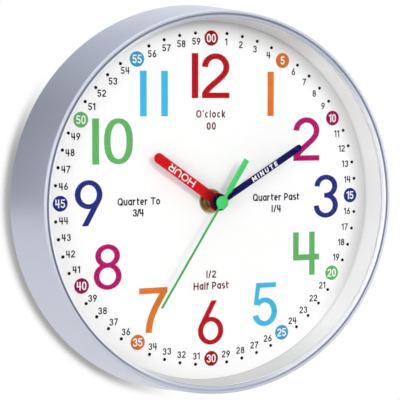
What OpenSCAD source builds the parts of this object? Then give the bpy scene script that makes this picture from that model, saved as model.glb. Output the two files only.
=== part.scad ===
// Teaching wall clock: a round case with a deep white inner ring, three coloured hands
// and a battery-driven movement. All lengths are in millimetres.

/* [Case] */
// Diameter of the glass, which the ring and the dial share
glass_d = 279.4; // [240:0.2:320]
// Wall of the case from its bore to the outside of the front rim
front_wall = 3.9; // [3.4:0.1:6]
// How much the radius grows from the front rim to the wall
flare = 6.2; // [5:0.1:8]
// Height of the front rim in front of the dial
front_h = 26.6; // [26:0.2:34]
// Depth from the front of the dial back to the wall
back_h = 31.6; // [30:0.2:40]
// Thickness of the tapered outer shell
shell_t = 2.6; // [2:0.1:3.2]
// Thickness of the wall around the bore
bore_wall = 1.8; // [1.4:0.1:2.4]
// Width of the lip that covers the edge of the glass
lip_w = 2.4; // [1.2:0.1:3]
// Thickness of the lip at its inner edge
lip_t = 1.8; // [0.6:0.1:1.9]
// Width of the lip's top outside the bore
lip_top_w = 0.3; // [0.3:0.1:0.8]
// How far the lip's outer edge lies below the rim
lip_sink = 0.3; // [0.2:0.1:0.5]
// Width of the shadow groove between lip and rim
groove_w = 1.2; // [0.6:0.1:1.2]
// Depth of the shadow groove
groove_h = 1.5; // [0.8:0.1:1.6]
// Radius of the outer front edge
front_round = 1.4; // [0.8:0.1:1.8]
// Radius of the outer back edge
back_round = 1.6; // [0.8:0.1:2]

/* [Glass and dial] */
// Thickness of the glass
glass_t = 1.6; // [1.2:0.1:2]
// Height from the lip's back face up to the top of the rim
glass_drop = 2.8; // [2.4:0.1:3.2]
// Thickness of the white ring at the dial
ring_foot_w = 3.2; // [2.4:0.1:4]
// Thickness of the white ring under the glass
ring_top_w = 1.9; // [1.6:0.1:2.4]
// Thickness of the dial
dial_t = 1.2; // [0.8:0.1:1.6]

/* [Back cover] */
// Thickness of the back cover
cover_t = 2; // [1.6:0.1:2.6]
// Thickness of the ring wall that holds the dial
skirt_t = 2; // [1.6:0.1:2.6]
// Clear width and height of the opening behind the movement
well_w = 64; // [62:0.5:72]
// Thickness of the walls around that opening
well_wall = 1.6; // [1.2:0.1:2]
// How far those walls reach past the back of the movement
well_lap = 5; // [3:0.5:8]
// Height of the hanging hole above the dial's centre
hanger_rise = 100; // [70:1:110]
// Radius of the hanging hole's entry
hanger_r = 4.5; // [4:0.1:5.5]
// Width of the hanging slot
hanger_slot = 4.4; // [4:0.1:5]
// Length of the hanging slot, from the entry to its end
hanger_len = 9; // [8:0.5:14]
// Extra thickness around the hanging hole
hanger_pad_t = 1.5; // [1:0.1:2.5]
// Width of the pad beside the hanging hole
hanger_pad_w = 5; // [3:0.5:8]

/* [Screws] */
// Number of screws that hold the cover
screw_n = 6; // [4:1:8]
// Radius of the screw's head
screw_head_r = 2.9; // [2.5:0.1:3.2]
// Height of the screw's head
screw_head_h = 2; // [1.6:0.1:2.4]
// Radius of the screw's shank
screw_r = 1.25; // [1:0.05:1.4]
// Length of the screw's shank
screw_len = 13; // [10:0.5:16]
// Width of the slot across the head
screw_slot_w = 0.8; // [0.6:0.1:1]
// Wall of the screw bosses
boss_wall = 2.2; // [1.6:0.1:2.6]
// Thickness of the webs that tie the bosses to the shell
web_t = 1.6; // [1.2:0.1:2]
// Floor under the head
cup_floor = 1.4; // [1.2:0.1:2]
// Recess of the head below the cover's back
head_recess = 1; // [0.6:0.1:1.4]

/* [Hands] */
// Minutes that the clock shows at rest
rest_minute = 9.88; // [0:0.01:59.99]
// Hours that the clock shows at rest
rest_hour = 10; // [0:1:11]
// Seconds that the clock shows at rest
rest_second = 35.47; // [0:0.01:59.99]
// Thickness of the hands
hand_t = 0.6; // [0.4:0.1:0.8]
// Length of the hour hand
hour_len = 63; // [50:0.5:75]
// Width of the hour hand
hour_w = 7.8; // [6:0.1:10]
// Radius of the hour hand's disc
hour_disc_r = 7; // [6.2:0.1:9]
// Height of the hour hand above the dial
hour_z = 12; // [10:0.1:12.2]
// Length of the minute hand
minute_len = 81; // [65:0.5:100]
// Width of the minute hand
minute_w = 5.2; // [4:0.1:7]
// Radius of the minute hand's disc
minute_disc_r = 6.4; // [5:0.1:7]
// Radius of the raised step on that disc
minute_step_r = 4.4; // [3:0.1:4.8]
// Height of the minute hand above the dial
minute_z = 16; // [15.6:0.1:16.2]
// Length of the second hand's thin end
second_len = 92; // [75:0.5:110]
// Width of the second hand's thin end
second_w = 1.7; // [1.2:0.1:2.4]
// Length of the second hand's tail
tail_len = 38; // [30:0.5:45]
// Width of the second hand's tail
tail_w = 4.6; // [3:0.1:5]
// Width of the neck between hub and tail
neck_w = 2.4; // [1.8:0.1:2.8]
// Where the neck widens to the tail
neck_len = 9; // [7:0.5:12]
// Radius of the second hand's hub
second_hub_r = 5; // [4:0.1:6]
// Step around the top of that hub
second_hub_step = 0.3; // [0.2:0.05:0.5]
// Height of the second hand's hub
second_hub_h = 1.1; // [0.9:0.1:1.3]
// Height of the second hand above the dial
second_z = 20; // [19.6:0.1:20.2]
// Length of the sockets under the hands
collet_len = 2.2; // [1.6:0.1:2.4]
// Wall of those sockets
collet_wall = 1; // [0.7:0.1:1.2]

/* [Movement housing] */
// Width of the movement
mv_w = 56; // [56:0.5:60]
// Height of the movement above the hands' axis
mv_up = 26; // [26:0.5:29]
// Height of the movement below the hands' axis
mv_down = 30; // [30:0.1:32]
// Thickness of the movement
mv_t = 16.4; // [16.4:0.1:18]
// Wall of the movement
mv_wall = 1.2; // [1.2:0.1:1.4]
// Depth of the pivot holes in those walls
pivot_len = 0.72; // [0.5:0.02:0.9]
// Thickness of the plate inside the movement
plate_t = 1; // [0.8:0.1:1.2]
// Width of the battery bay
bay_w = 15.2; // [15:0.1:15.6]
// Distance of the pillars from the corner of the train space
pillar_inset = 2.4; // [2.3:0.1:2.6]
// Radius of the pillars under the plate
pillar_r = 2.3; // [2:0.1:2.3]
// Radius of the pillars between plate and board
pillar_mid_r = 1.7; // [1.5:0.1:1.8]
// Radius of the pillars between board and cover
pillar_top_r = 1.2; // [1:0.1:1.3]
// Radius of the pins through the cover
pin_r = 0.8; // [0.6:0.1:0.9]

/* [Centre stack] */
// Radius of the second arbor
second_r = 0.5; // [0.4:0.05:0.6]
// Radius of the minute tube
minute_r = 1.55; // [1.4:0.05:1.7]
// Radius of the hour tube
hour_r = 2.5; // [2.4:0.05:2.7]
// Radius of the threaded bush
bush_r = 4; // [3.6:0.1:4.2]
// Radius of the bush's flange
bush_flange_r = 6; // [5.2:0.1:7]
// Thickness of the bush's flange
bush_flange_t = 0.7; // [0.5:0.1:0.8]
// How far the bush stands out of the nut
bush_over = 1.2; // [0.6:0.1:2]
// Thickness of the rubber washer
rubber_t = 1; // [0.8:0.1:1.4]
// Radius of the rubber washer
rubber_r = 9.5; // [8:0.1:11]
// Thickness of the brass washer
washer_t = 0.8; // [0.6:0.1:1.2]
// Radius of the brass washer
washer_r = 9.5; // [8.6:0.1:11]
// Thickness of the brass nut
nut_t = 2.6; // [2:0.1:3.2]
// Width of the nut across its flats
nut_af = 13; // [12:0.1:14]

/* [Gears] */
// Pressure angle of all teeth
pressure_angle = 25; // [22:0.5:27]
// Height of a tooth above the pitch circle, in modules
addendum = 0.8; // [0.7:0.05:0.85]
// Depth of a tooth below the pitch circle, in modules
dedendum = 1.1; // [1.05:0.05:1.2]
// Thickness taken off each tooth so that pairs run with play
tooth_play = 0.05; // [0.03:0.01:0.07]
// Thickness of the wheels
gear_t = 1; // [0.8:0.05:1.05]
// Gap between neighbouring wheels along the axis
layer_gap = 0.5; // [0.4:0.05:0.55]
// Radius of the wheels' arbors
arbor_r = 0.4; // [0.3:0.05:0.45]
// Module of the rotor pair
rotor_m = 0.25; // [0.22:0.01:0.26]
// Module of the pair that turns the seconds wheel
seconds_m = 0.3; // [0.28:0.01:0.31]
// Module of the pair that turns the centre wheel
centre_m = 0.25; // [0.24:0.005:0.255]
// Module of the pair that turns the motion wheel
motion_m = 0.5; // [0.48:0.01:0.51]
// Teeth of the small pinions
pinion_n = 10; // [10:1:10]
// Teeth of the cannon pinion and of the setting pinion
cannon_n = 12; // [12:1:12]
// Teeth of the fifth wheel
fifth_n = 60; // [60:1:60]
// Teeth of the seconds wheel
seconds_n = 50; // [50:1:50]
// Teeth of the third wheel
third_n = 75; // [75:1:75]
// Teeth of the centre wheel
centre_n = 80; // [80:1:80]
// Teeth of the motion wheel
motion_n = 36; // [36:1:36]
// Teeth of the hour wheel
hour_n = 40; // [40:1:40]
// Direction from the centre to the third wheel
third_dir = 0; // [-5:1:5]
// Direction from the centre to the fifth wheel
fifth_dir = 180; // [176:1:184]
// Direction from the fifth wheel to the rotor
rotor_dir = 100; // [96:1:104]
// Direction from the centre to the motion wheel
motion_dir = 90; // [86:1:94]
// Direction from the motion wheel to the setting arbor
knob_dir = 30; // [26:1:34]
// Radius of the setting arbor
knob_arbor_r = 1.5; // [1.2:0.05:1.6]
// Radius of the setting knob
knob_r = 6.5; // [5:0.1:6.8]
// Height of the setting knob
knob_h = 3.5; // [2.5:0.1:4]
// Number of grooves around the setting knob
knob_grooves = 18; // [12:1:24]
// Radius of those grooves
knob_groove_r = 0.6; // [0.4:0.05:0.8]

/* [Motor and battery] */
// Radius of the rotor's magnet
magnet_r = 2.5; // [2:0.1:2.6]
// Thickness of the rotor's magnet
magnet_t = 1.5; // [1.2:0.1:1.6]
// Air gap between magnet and stator
air_gap = 0.4; // [0.3:0.05:0.5]
// Width of the iron around the rotor
stator_ring_w = 1.6; // [1.2:0.1:1.8]
// Width of the stator's arms
stator_arm_w = 3.4; // [3:0.1:3.6]
// Thickness of the stator and of the coil's core
iron_t = 1.2; // [1:0.05:1.25]
// Distance of the coil's axis from the left wall
coil_wall_gap = 5.8; // [5:0.1:6]
// Height of the coil's upper post above the hands' axis
coil_post_up = 14.7; // [14:0.1:15.5]
// Depth of the coil's lower post below the hands' axis
coil_post_down = 6.5; // [6:0.1:7]
// Width of the coil's core
core_w = 3; // [2.6:0.1:3.2]
// Radius of the winding
winding_r = 3; // [2.6:0.1:3.1]
// Radius of the bobbin's tube
bobbin_r = 2.1; // [2:0.05:2.3]
// Radius of the bobbin's flanges
flange_r = 3.4; // [3.2:0.05:3.5]
// Thickness of the bobbin's flanges
flange_t = 0.8; // [0.6:0.1:1]
// Thickness of the circuit board
board_t = 1; // [0.8:0.1:1.2]
// Width of the circuit board
board_w = 11.9; // [11:0.1:12]
// Radius of the chip's cover
chip_r = 3; // [2:0.1:3.2]
// Radius of the chip's cover at its top
chip_top_r = 2.1; // [1.4:0.1:2.2]
// Height of the chip's cover
chip_h = 1; // [0.8:0.1:1.4]
// Radius of the crystal's can
crystal_r = 1; // [0.8:0.05:1.1]
// Length of the crystal's can
crystal_len = 6; // [5:0.1:7]
// Diameter of the battery cell
cell_d = 14.5; // [13.5:0.1:14.5]
// Length of the battery cell with its cap
cell_len = 50.5; // [49.2:0.1:50.5]
// Radius of the cell's cap
cell_cap_r = 2.75; // [2:0.05:2.75]
// Height of the cell's cap
cell_cap_h = 1; // [1:0.1:1.5]
// Room behind the cell for the bent tongue
spring_gap = 2.7; // [2:0.1:3.4]
// Height of the tongue's root above the middle of its plate
tongue_root = 3; // [2:0.1:4]
// Thickness of the contact strips
strip_t = 0.4; // [0.3:0.05:0.5]
// Width of the contact plates in the bay
strip_w = 9; // [7:0.1:10]
// Height of the contact strips along the walls
strip_h = 2.6; // [2:0.1:3]

/* [Fits] */
// Radial clearance of parts that turn on each other
run_fit = 0.05; // [0.02:0.01:0.08]
// Radial clearance of fixed parts that are pushed together
push_fit = 0.03; // [0.01:0.01:0.05]
// Radial clearance of the glass, ring and dial in the case
stack_fit = 0.3; // [0.1:0.05:0.5]
// Clearance of the covers in their openings
cover_fit = 0.25; // [0.1:0.05:0.4]
// End play of arbors and running parts
end_play = 0.1; // [0.05:0.01:0.15]
// Gap between a running part and a wall beside it
side_gap = 0.3; // [0.2:0.05:0.4]

/* [Hidden] */
$fn = 96;
e = 0.01;
round_step = 15;
minute_deg = 6;
hour_deg = 30;

// How far a cut runs past the face that it opens
over = 1;

// Case radii and heights, measured from the dial's front
stack_r = glass_d / 2;
bore_r = stack_r + stack_fit;
front_r = bore_r + front_wall;
back_r = front_r + flare;
lip_back_z = front_h - glass_drop;
glass_back_z = lip_back_z - glass_t;
lip_r = bore_r - lip_w;
sight_r = stack_r - ring_foot_w;
wall_z = -back_h;
function side_r(z) = back_r + (front_r - back_r) * (z - wall_z) / (front_h - wall_z);
function inside_r(z) = side_r(z) - shell_t;
cavity_top_z = lip_back_z - front_wall;

// Cover, screws and bosses
cover_front_z = wall_z + cover_t;
cover_r = inside_r(cover_front_z) - cover_fit;
boss_r = screw_r + boss_wall;
cup_r = screw_head_r + cover_fit + cup_floor;
head_seat_z = wall_z + head_recess + screw_head_h;
boss_z = head_seat_z + cup_floor;
screw_end_z = head_seat_z + screw_len;
boss_end_z = screw_end_z + boss_wall;
boss_ring_r = min(cover_r - cup_r, inside_r(boss_end_z) - boss_r) - side_gap;
function web_len(z) = inside_r(z) + shell_t / 2 - boss_ring_r;
skirt_r = min(stack_r - skirt_t, boss_ring_r - boss_r - side_gap);

// Movement heights, from the dial towards the wall
mv_front_z = -dial_t - rubber_t;
mv_back_z = mv_front_z - mv_t;
floor_z = mv_front_z - mv_wall;
lid_z = mv_back_z + mv_wall;
hour_gear_z = floor_z - side_gap - gear_t;
motion_gear_z = hour_gear_z - layer_gap - gear_t;
centre_gear_z = motion_gear_z - layer_gap - gear_t;
plate_front_z = centre_gear_z - layer_gap;
plate_back_z = plate_front_z - plate_t;
third_gear_z = plate_back_z - layer_gap - gear_t;
seconds_gear_z = third_gear_z - layer_gap - gear_t;
fifth_gear_z = seconds_gear_z - layer_gap - gear_t;
magnet_front_z = fifth_gear_z - layer_gap;
iron_z = magnet_front_z - side_gap;
board_z = iron_z + iron_t;

// Movement outline: train space above the battery bay
half_w = mv_w / 2;
space_x = half_w - mv_wall;
space_top = mv_up - mv_wall;
bay_bottom = mv_wall - mv_down;
bay_top = bay_bottom + bay_w;
bay_x = (cell_len + strip_t + spring_gap) / 2;
space_bottom = bay_top + mv_wall;
mv_mid_y = (mv_up - mv_down) / 2;
pillars = [for (x = [-1, 1], y = [space_bottom + pillar_inset, space_top - pillar_inset])
    [x * (space_x - pillar_inset), y]];

// Axes of the train, on the dial's plane
function polar(r, a) = [r * cos(a), r * sin(a)];
function spread(m, n1, n2) = m * (n1 + n2) / 2;
third_a = spread(centre_m, pinion_n, centre_n);
third_m = 2 * third_a / (pinion_n + third_n);
fifth_a = spread(seconds_m, pinion_n, seconds_n);
rotor_a = spread(rotor_m, pinion_n, fifth_n);
motion_a = spread(motion_m, cannon_n, motion_n);
hour_m = 2 * motion_a / (pinion_n + hour_n);
third_p = polar(third_a, third_dir);
fifth_p = polar(fifth_a, fifth_dir);
rotor_p = fifth_p + polar(rotor_a, rotor_dir);
motion_p = polar(motion_a, motion_dir);
knob_p = motion_p + polar(motion_a, knob_dir);

// Coil, board and cell places
coil_x = coil_wall_gap - space_x;
coil_top = [coil_x, coil_post_up];
coil_low = [coil_x, -coil_post_down];
coil_z = iron_z + iron_t / 2;
coil_end = stator_arm_w / 2 + side_gap;
board_x = space_x - strip_t - board_w;
board_low = space_bottom + strip_t;
board_high = space_top - side_gap;
cell_y = (bay_bottom + bay_top) / 2;
cell_z = floor_z - push_fit - cell_d / 2;
cell_tip_x = bay_x - strip_t;
strip_back_z = board_z - board_t - strip_h / 2;

// Angles of the hands, clockwise from twelve
minute_angle = minute_deg * rest_minute;
hour_angle = hour_deg * rest_hour + minute_angle * hour_deg / 360;
second_angle = minute_deg * rest_second;

// A tooth's half angle at radius r, and the outline of a whole gear
function inv_deg(a) = tan(a) * 180 / PI - a;
function pitch_r(n, m) = n * m / 2;
function base_r(n, m) = pitch_r(n, m) * cos(pressure_angle);
function root_r(n, m) = pitch_r(n, m) - dedendum * m;
function tip_r(n, m) = pitch_r(n, m) + addendum * m;
function half_tooth(n, m, r) = 90 / n - tooth_play / 2 / pitch_r(n, m) * 180 / PI
    + inv_deg(pressure_angle) - inv_deg(acos(min(1, base_r(n, m) / r)));
function flank_radii(n, m) = let (low = max(root_r(n, m), base_r(n, m)), high = tip_r(n, m))
    [low, (low + high) / 2, high];
function flank(n, m) = let (radii = flank_radii(n, m))
    concat(root_r(n, m) < radii[0] ? [[root_r(n, m), half_tooth(n, m, radii[0])]] : [],
        [for (r = radii) [r, half_tooth(n, m, r)]]);
function gear_outline(n, m, phase) = let (side = flank(n, m), last = len(side) - 1)
    [for (k = [0:n - 1], s = [-1, 1], i = [0:last])
        let (p = s < 0 ? side[i] : side[last - i]) polar(p[0], phase + 360 * k / n + s * p[1])];

// Phase that puts gear b into mesh with gear a, which lies at its back along direction dir
function mesh_phase(na, phase_a, dir, nb) =
    let (pitch = 360 / na, turn = dir - phase_a, d = turn - pitch * floor(turn / pitch))
    dir + 180 + d * na / nb + 180 / nb;
motion_phase = mesh_phase(cannon_n, 0, motion_dir, motion_n);
knob_phase = mesh_phase(motion_n, motion_phase, knob_dir, cannon_n);
hour_phase = mesh_phase(pinion_n, 0, motion_dir + 180, hour_n);
third_phase = mesh_phase(pinion_n, 0, third_dir, third_n);
centre_phase = mesh_phase(pinion_n, 0, third_dir + 180, centre_n);
fifth_pinion_phase = mesh_phase(seconds_n, 0, fifth_dir, pinion_n);
rotor_phase = mesh_phase(fifth_n, 0, rotor_dir, pinion_n);

// Puts a part that faces up, with the dial's centre at its origin, on the wall below the hanger
module on_wall() {
    translate([0, wall_z, -hanger_rise]) rotate([90, 0, 0]) children();
}

module at(p) {
    translate([p[0], p[1], 0]) children();
}

module rod(r, z0, z1) {
    translate([0, 0, z0]) cylinder(r = r, h = z1 - z0);
}

module ring(r_out, r_in, z0, z1) {
    difference() {
        rod(r_out, z0, z1);
        rod(r_in, z0 - over, z1 + over);
    }
}

module slab(x0, x1, y0, y1, z0, z1) {
    translate([x0, y0, z0]) cube([x1 - x0, y1 - y0, z1 - z0]);
}

module gear(n, m, z0, t, phase) {
    translate([0, 0, z0]) linear_extrude(height = t) polygon(gear_outline(n, m, phase));
}

module around_screws() {
    for (k = [0:screw_n - 1])
        rotate([0, 0, 360 * (k + 0.5) / screw_n]) translate([boss_ring_r, 0, 0]) children();
}

// Section of the case: lip, groove, rounded rim, tapered side and rounded back edge
module case_section() {
    lip_top_r = bore_r + lip_top_w;
    rim_in_r = lip_top_r + groove_w;
    side_tilt = atan2(back_r - front_r, front_h - wall_z);
    rim_c = [front_r - front_round, front_h - front_round];
    foot_c = [back_r - back_round, wall_z + back_round];
    polygon(concat(
        [[bore_r, wall_z], [bore_r, lip_back_z], [lip_r, lip_back_z], [lip_r, lip_back_z + lip_t]],
        [[lip_top_r, front_h - lip_sink], [(lip_top_r + rim_in_r) / 2, front_h - groove_h]],
        [[rim_in_r, front_h]],
        [for (a = [90:-round_step:side_tilt]) rim_c + polar(front_round, a)],
        [for (a = [side_tilt:-round_step:-90]) foot_c + polar(back_round, a)]));
}

// Space inside the tapered shell, without the wall around the bore
module case_cavity() {
    difference() {
        translate([0, 0, wall_z]) cylinder(r1 = inside_r(wall_z), r2 = inside_r(cavity_top_z),
            h = cavity_top_z - wall_z);
        rod(bore_r + bore_wall, -dial_t - bore_wall, cavity_top_z + over);
    }
}

// Webs from the bosses out into the tapered shell
module boss_webs() {
    around_screws() translate([0, web_t / 2, 0]) rotate([90, 0, 0]) linear_extrude(height = web_t)
        polygon([[0, boss_z], [web_len(boss_z), boss_z], [web_len(boss_end_z), boss_end_z],
            [0, boss_end_z]]);
}

module case() {
    color([0.68, 0.7, 0.76]) on_wall() difference() {
        union() {
            difference() {
                rotate_extrude($fn = 180) case_section();
                case_cavity();
            }
            around_screws() rod(boss_r, boss_z, boss_end_z);
            boss_webs();
        }
        around_screws() rod(screw_r + push_fit, boss_z - over, screw_end_z + end_play);
    }
}

module glass() {
    color([0.9, 0.95, 1, 0.25]) on_wall() rod(stack_r, glass_back_z, lip_back_z);
}

module white_ring() {
    color("white") on_wall() difference() {
        rod(stack_r, 0, glass_back_z);
        translate([0, 0, -e])
            cylinder(r1 = sight_r, r2 = stack_r - ring_top_w, h = glass_back_z + 2 * e);
    }
}

module dial() {
    color("white") on_wall() ring(stack_r, bush_r + cover_fit, -dial_t, 0);
}

module keyhole(z0, z1) {
    translate([0, hanger_rise, 0]) {
        rod(hanger_r, z0, z1);
        slab(-hanger_slot / 2, hanger_slot / 2, 0, hanger_len, z0, z1);
        translate([0, hanger_len, 0]) rod(hanger_slot / 2, z0, z1);
    }
}

module well(grow, z0, z1) {
    half = well_w / 2 + grow;
    slab(-half, half, mv_mid_y - half, mv_mid_y + half, z0, z1);
}

module back_cover() {
    pad_r = hanger_r + hanger_pad_w;
    pad_z = cover_front_z + hanger_pad_t;
    color([0.25, 0.26, 0.28]) on_wall() difference() {
        union() {
            rod(cover_r, wall_z, cover_front_z);
            ring(skirt_r, skirt_r - skirt_t, wall_z, -dial_t);
            around_screws() rod(cup_r, wall_z, boss_z);
            well(well_wall, wall_z, mv_back_z + well_lap);
            translate([0, hanger_rise, 0]) rod(pad_r, wall_z, pad_z);
            translate([0, hanger_rise + hanger_len, 0]) rod(pad_r, wall_z, pad_z);
            slab(-pad_r, pad_r, hanger_rise, hanger_rise + hanger_len, wall_z, pad_z);
        }
        well(0, wall_z - over, mv_back_z + well_lap + over);
        keyhole(wall_z - over, pad_z + over);
        around_screws() {
            rod(screw_head_r + cover_fit, wall_z - over, head_seat_z);
            rod(screw_r + cover_fit, head_seat_z - over, boss_z + over);
        }
    }
}

module cover_screws() {
    color("gray") on_wall() around_screws() {
        difference() {
            union() {
                rod(screw_head_r, head_seat_z - screw_head_h, head_seat_z);
                rod(screw_r, head_seat_z, screw_end_z);
            }
            translate([0, 0, head_seat_z - screw_head_h]) rotate([0, 0, 45]) {
                cube([2 * screw_head_r + over, screw_slot_w, screw_head_h], center = true);
                cube([screw_slot_w, 2 * screw_head_r + over, screw_head_h], center = true);
            }
        }
    }
}

module movement_housing() {
    color([0.16, 0.16, 0.17]) on_wall() difference() {
        union() {
            difference() {
                union() {
                    slab(-half_w, half_w, bay_top, mv_up, mv_back_z, mv_front_z);
                    slab(-bay_x - mv_wall, bay_x + mv_wall, -mv_down, space_bottom, mv_back_z, mv_front_z);
                }
                slab(-space_x, space_x, space_bottom, space_top, mv_back_z - over, floor_z);
                slab(-bay_x, bay_x, bay_bottom, bay_top, mv_back_z - over, floor_z);
            }
            for (p = pillars) at(p) {
                rod(pillar_r, plate_front_z, floor_z + e);
                rod(pillar_mid_r, board_z, plate_front_z + e);
                rod(pillar_top_r, lid_z, board_z + e);
                rod(pin_r, mv_back_z, lid_z + e);
            }
        }
        rod(bush_r + push_fit, floor_z - over, mv_front_z + over);
        rod(bush_flange_r + push_fit, floor_z - over, floor_z + bush_flange_t);
        for (p = [third_p, motion_p]) at(p) rod(arbor_r + run_fit, floor_z - over, floor_z + pivot_len);
        at(knob_p) rod(knob_arbor_r + run_fit, floor_z - over, floor_z + pivot_len);
        for (side = [0, 1]) mirror([side, 0, 0])
            slab(min(bay_x, space_x) - strip_t - push_fit, max(bay_x, space_x) + strip_t + push_fit,
                bay_top - strip_t - push_fit, space_bottom + over,
                strip_back_z - push_fit, strip_back_z + strip_h + push_fit);
    }
}

module train_plate() {
    color([0.85, 0.85, 0.82]) on_wall() difference() {
        union() {
            slab(cover_fit - space_x, space_x - cover_fit, space_bottom + cover_fit,
                space_top - cover_fit, plate_back_z, plate_front_z);
            for (p = [coil_top, coil_low]) at(p) {
                rod(core_w / 2, iron_z + iron_t, plate_back_z + e);
                rod(pin_r, iron_z - iron_t, iron_z + iron_t + e);
            }
        }
        for (p = pillars) at(p) rod(pillar_mid_r + push_fit, plate_back_z - over, plate_front_z + over);
        rod(second_r + run_fit, plate_back_z - over, plate_front_z + over);
        at(third_p) rod(tip_r(pinion_n, centre_m) + side_gap, plate_back_z - over, plate_front_z + over);
        for (p = [fifth_p, rotor_p, motion_p])
            at(p) rod(arbor_r + run_fit, plate_back_z - over, plate_front_z + over);
        at(knob_p) rod(knob_arbor_r + run_fit, plate_back_z - over, plate_front_z + over);
    }
}

module movement_cover() {
    color([0.16, 0.16, 0.17]) on_wall() difference() {
        slab(cover_fit - space_x, space_x - cover_fit, space_bottom + cover_fit,
            space_top - cover_fit, mv_back_z, lid_z);
        for (p = pillars) at(p) rod(pin_r + push_fit, mv_back_z - over, lid_z + over);
        rod(second_r + run_fit, lid_z - pivot_len, lid_z + over);
        for (p = [third_p, fifth_p, rotor_p])
            at(p) rod(arbor_r + run_fit, lid_z - pivot_len, lid_z + over);
        at(knob_p) rod(knob_arbor_r + run_fit, mv_back_z - over, lid_z + over);
    }
}

module threaded_bush() {
    color("gold") on_wall() difference() {
        union() {
            rod(bush_r, floor_z, washer_t + nut_t + bush_over);
            rod(bush_flange_r, floor_z, floor_z + bush_flange_t);
        }
        rod(hour_r + run_fit, floor_z - over, washer_t + nut_t + bush_over + over);
    }
}

module rubber_washer() {
    color([0.1, 0.1, 0.1]) on_wall() ring(rubber_r, bush_r + cover_fit, mv_front_z, -dial_t);
}

module brass_washer() {
    color("goldenrod") on_wall() ring(washer_r, bush_r + cover_fit, 0, washer_t);
}

module brass_nut() {
    corner_r = nut_af / sqrt(3);
    color("gold") on_wall() difference() {
        intersection() {
            translate([0, 0, washer_t]) cylinder(r = corner_r, h = nut_t, $fn = 6);
            translate([0, 0, washer_t]) cylinder(r1 = corner_r + nut_t, r2 = nut_af / 2, h = nut_t);
        }
        rod(bush_r + push_fit, washer_t - over, washer_t + nut_t + over);
    }
}

module battery_cell() {
    can_len = cell_len - cell_cap_h;
    color("darkslategray") on_wall()
        translate([cell_tip_x - cell_len, cell_y, cell_z]) rotate([0, 90, 0]) {
            cylinder(d = cell_d, h = can_len);
            cylinder(r = cell_cap_r, h = cell_len);
        }
}

// Strip from the end of the bay up along the side of the train space
module contact_riser(y1) {
    inner = min(bay_x, space_x) - strip_t;
    z1 = strip_back_z + strip_h;
    slab(bay_x - strip_t, bay_x, cell_y, bay_top, strip_back_z, z1);
    slab(inner, max(bay_x, space_x), bay_top - strip_t, bay_top, strip_back_z, z1);
    slab(space_x - strip_t, space_x, bay_top - strip_t, y1, strip_back_z, z1);
}

module plus_contact() {
    color("silver") on_wall() {
        slab(bay_x - strip_t, bay_x, cell_y - strip_w / 2, cell_y + strip_w / 2,
            cell_z - strip_w / 2, cell_z + strip_w / 2);
        contact_riser(space_bottom + board_w);
    }
}

// Plate in the bay with a bent tongue, and a strip that runs along the train space to the board
module minus_contact() {
    color("silver") on_wall() {
        translate([-bay_x, cell_y - strip_w / 2, cell_z]) rotate([-90, 0, 0])
            linear_extrude(height = strip_w) polygon([[0, -strip_w / 2], [strip_t, -strip_w / 2],
                [spring_gap, 0], [spring_gap - strip_t, strip_t], [strip_t, strip_t - tongue_root],
                [strip_t, strip_w / 2], [0, strip_w / 2]]);
        mirror([1, 0, 0]) contact_riser(space_bottom + strip_t);
        slab(-space_x, board_x + board_w / 2, space_bottom, space_bottom + strip_t,
            strip_back_z, strip_back_z + strip_h);
    }
}

module circuit_board() {
    color("darkgreen") on_wall() difference() {
        slab(board_x, board_x + board_w, board_low, board_high, board_z - board_t, board_z);
        for (p = pillars) at(p) rod(pillar_top_r + push_fit, board_z - board_t - over, board_z + over);
    }
}

module chip_cover() {
    color([0.08, 0.08, 0.08]) on_wall() translate([board_x + board_w / 2, space_top / 2, 0])
        rotate([180, 0, 0]) translate([0, 0, board_t - board_z])
            cylinder(r1 = chip_r, r2 = chip_top_r, h = chip_h);
}

module crystal() {
    color("lightgray") on_wall()
        translate([board_x + board_w / 2, -crystal_len / 2, board_z - board_t - push_fit - crystal_r])
            rotate([-90, 0, 0]) cylinder(r = crystal_r, h = crystal_len);
}

// Iron plate around the rotor, with one arm to each end of the coil's core
module stator() {
    hole_r = magnet_r + air_gap;
    ring_r = hole_r + stator_ring_w;
    half = stator_arm_w / 2;
    left = coil_x - half;
    color("slategray") on_wall() difference() {
        union() {
            at(rotor_p) rod(ring_r, iron_z - iron_t, iron_z);
            slab(rotor_p[0] - half, rotor_p[0] + half, rotor_p[1], coil_top[1] + half,
                iron_z - iron_t, iron_z);
            slab(left, rotor_p[0] + half, coil_top[1] - half, coil_top[1] + half,
                iron_z - iron_t, iron_z);
            slab(rotor_p[0] - ring_r, rotor_p[0] - ring_r + stator_arm_w, coil_low[1] - half,
                rotor_p[1], iron_z - iron_t, iron_z);
            slab(left, rotor_p[0] - ring_r + e, coil_low[1] - half, coil_low[1] + half,
                iron_z - iron_t, iron_z);
        }
        at(rotor_p) rod(hole_r, iron_z - iron_t - over, iron_z + over);
        for (p = [coil_top, coil_low]) at(p) rod(pin_r + push_fit, iron_z - iron_t - over, iron_z + over);
    }
}

module coil_core() {
    half = stator_arm_w / 2;
    color("slategray") on_wall() difference() {
        slab(coil_x - core_w / 2, coil_x + core_w / 2, coil_low[1] - half, coil_top[1] + half,
            iron_z, iron_z + iron_t);
        for (p = [coil_top, coil_low]) at(p) rod(pin_r + push_fit, iron_z - over, iron_z + iron_t + over);
    }
}

module along_coil(y0) {
    translate([coil_x, y0, coil_z]) rotate([-90, 0, 0]) children();
}

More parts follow.
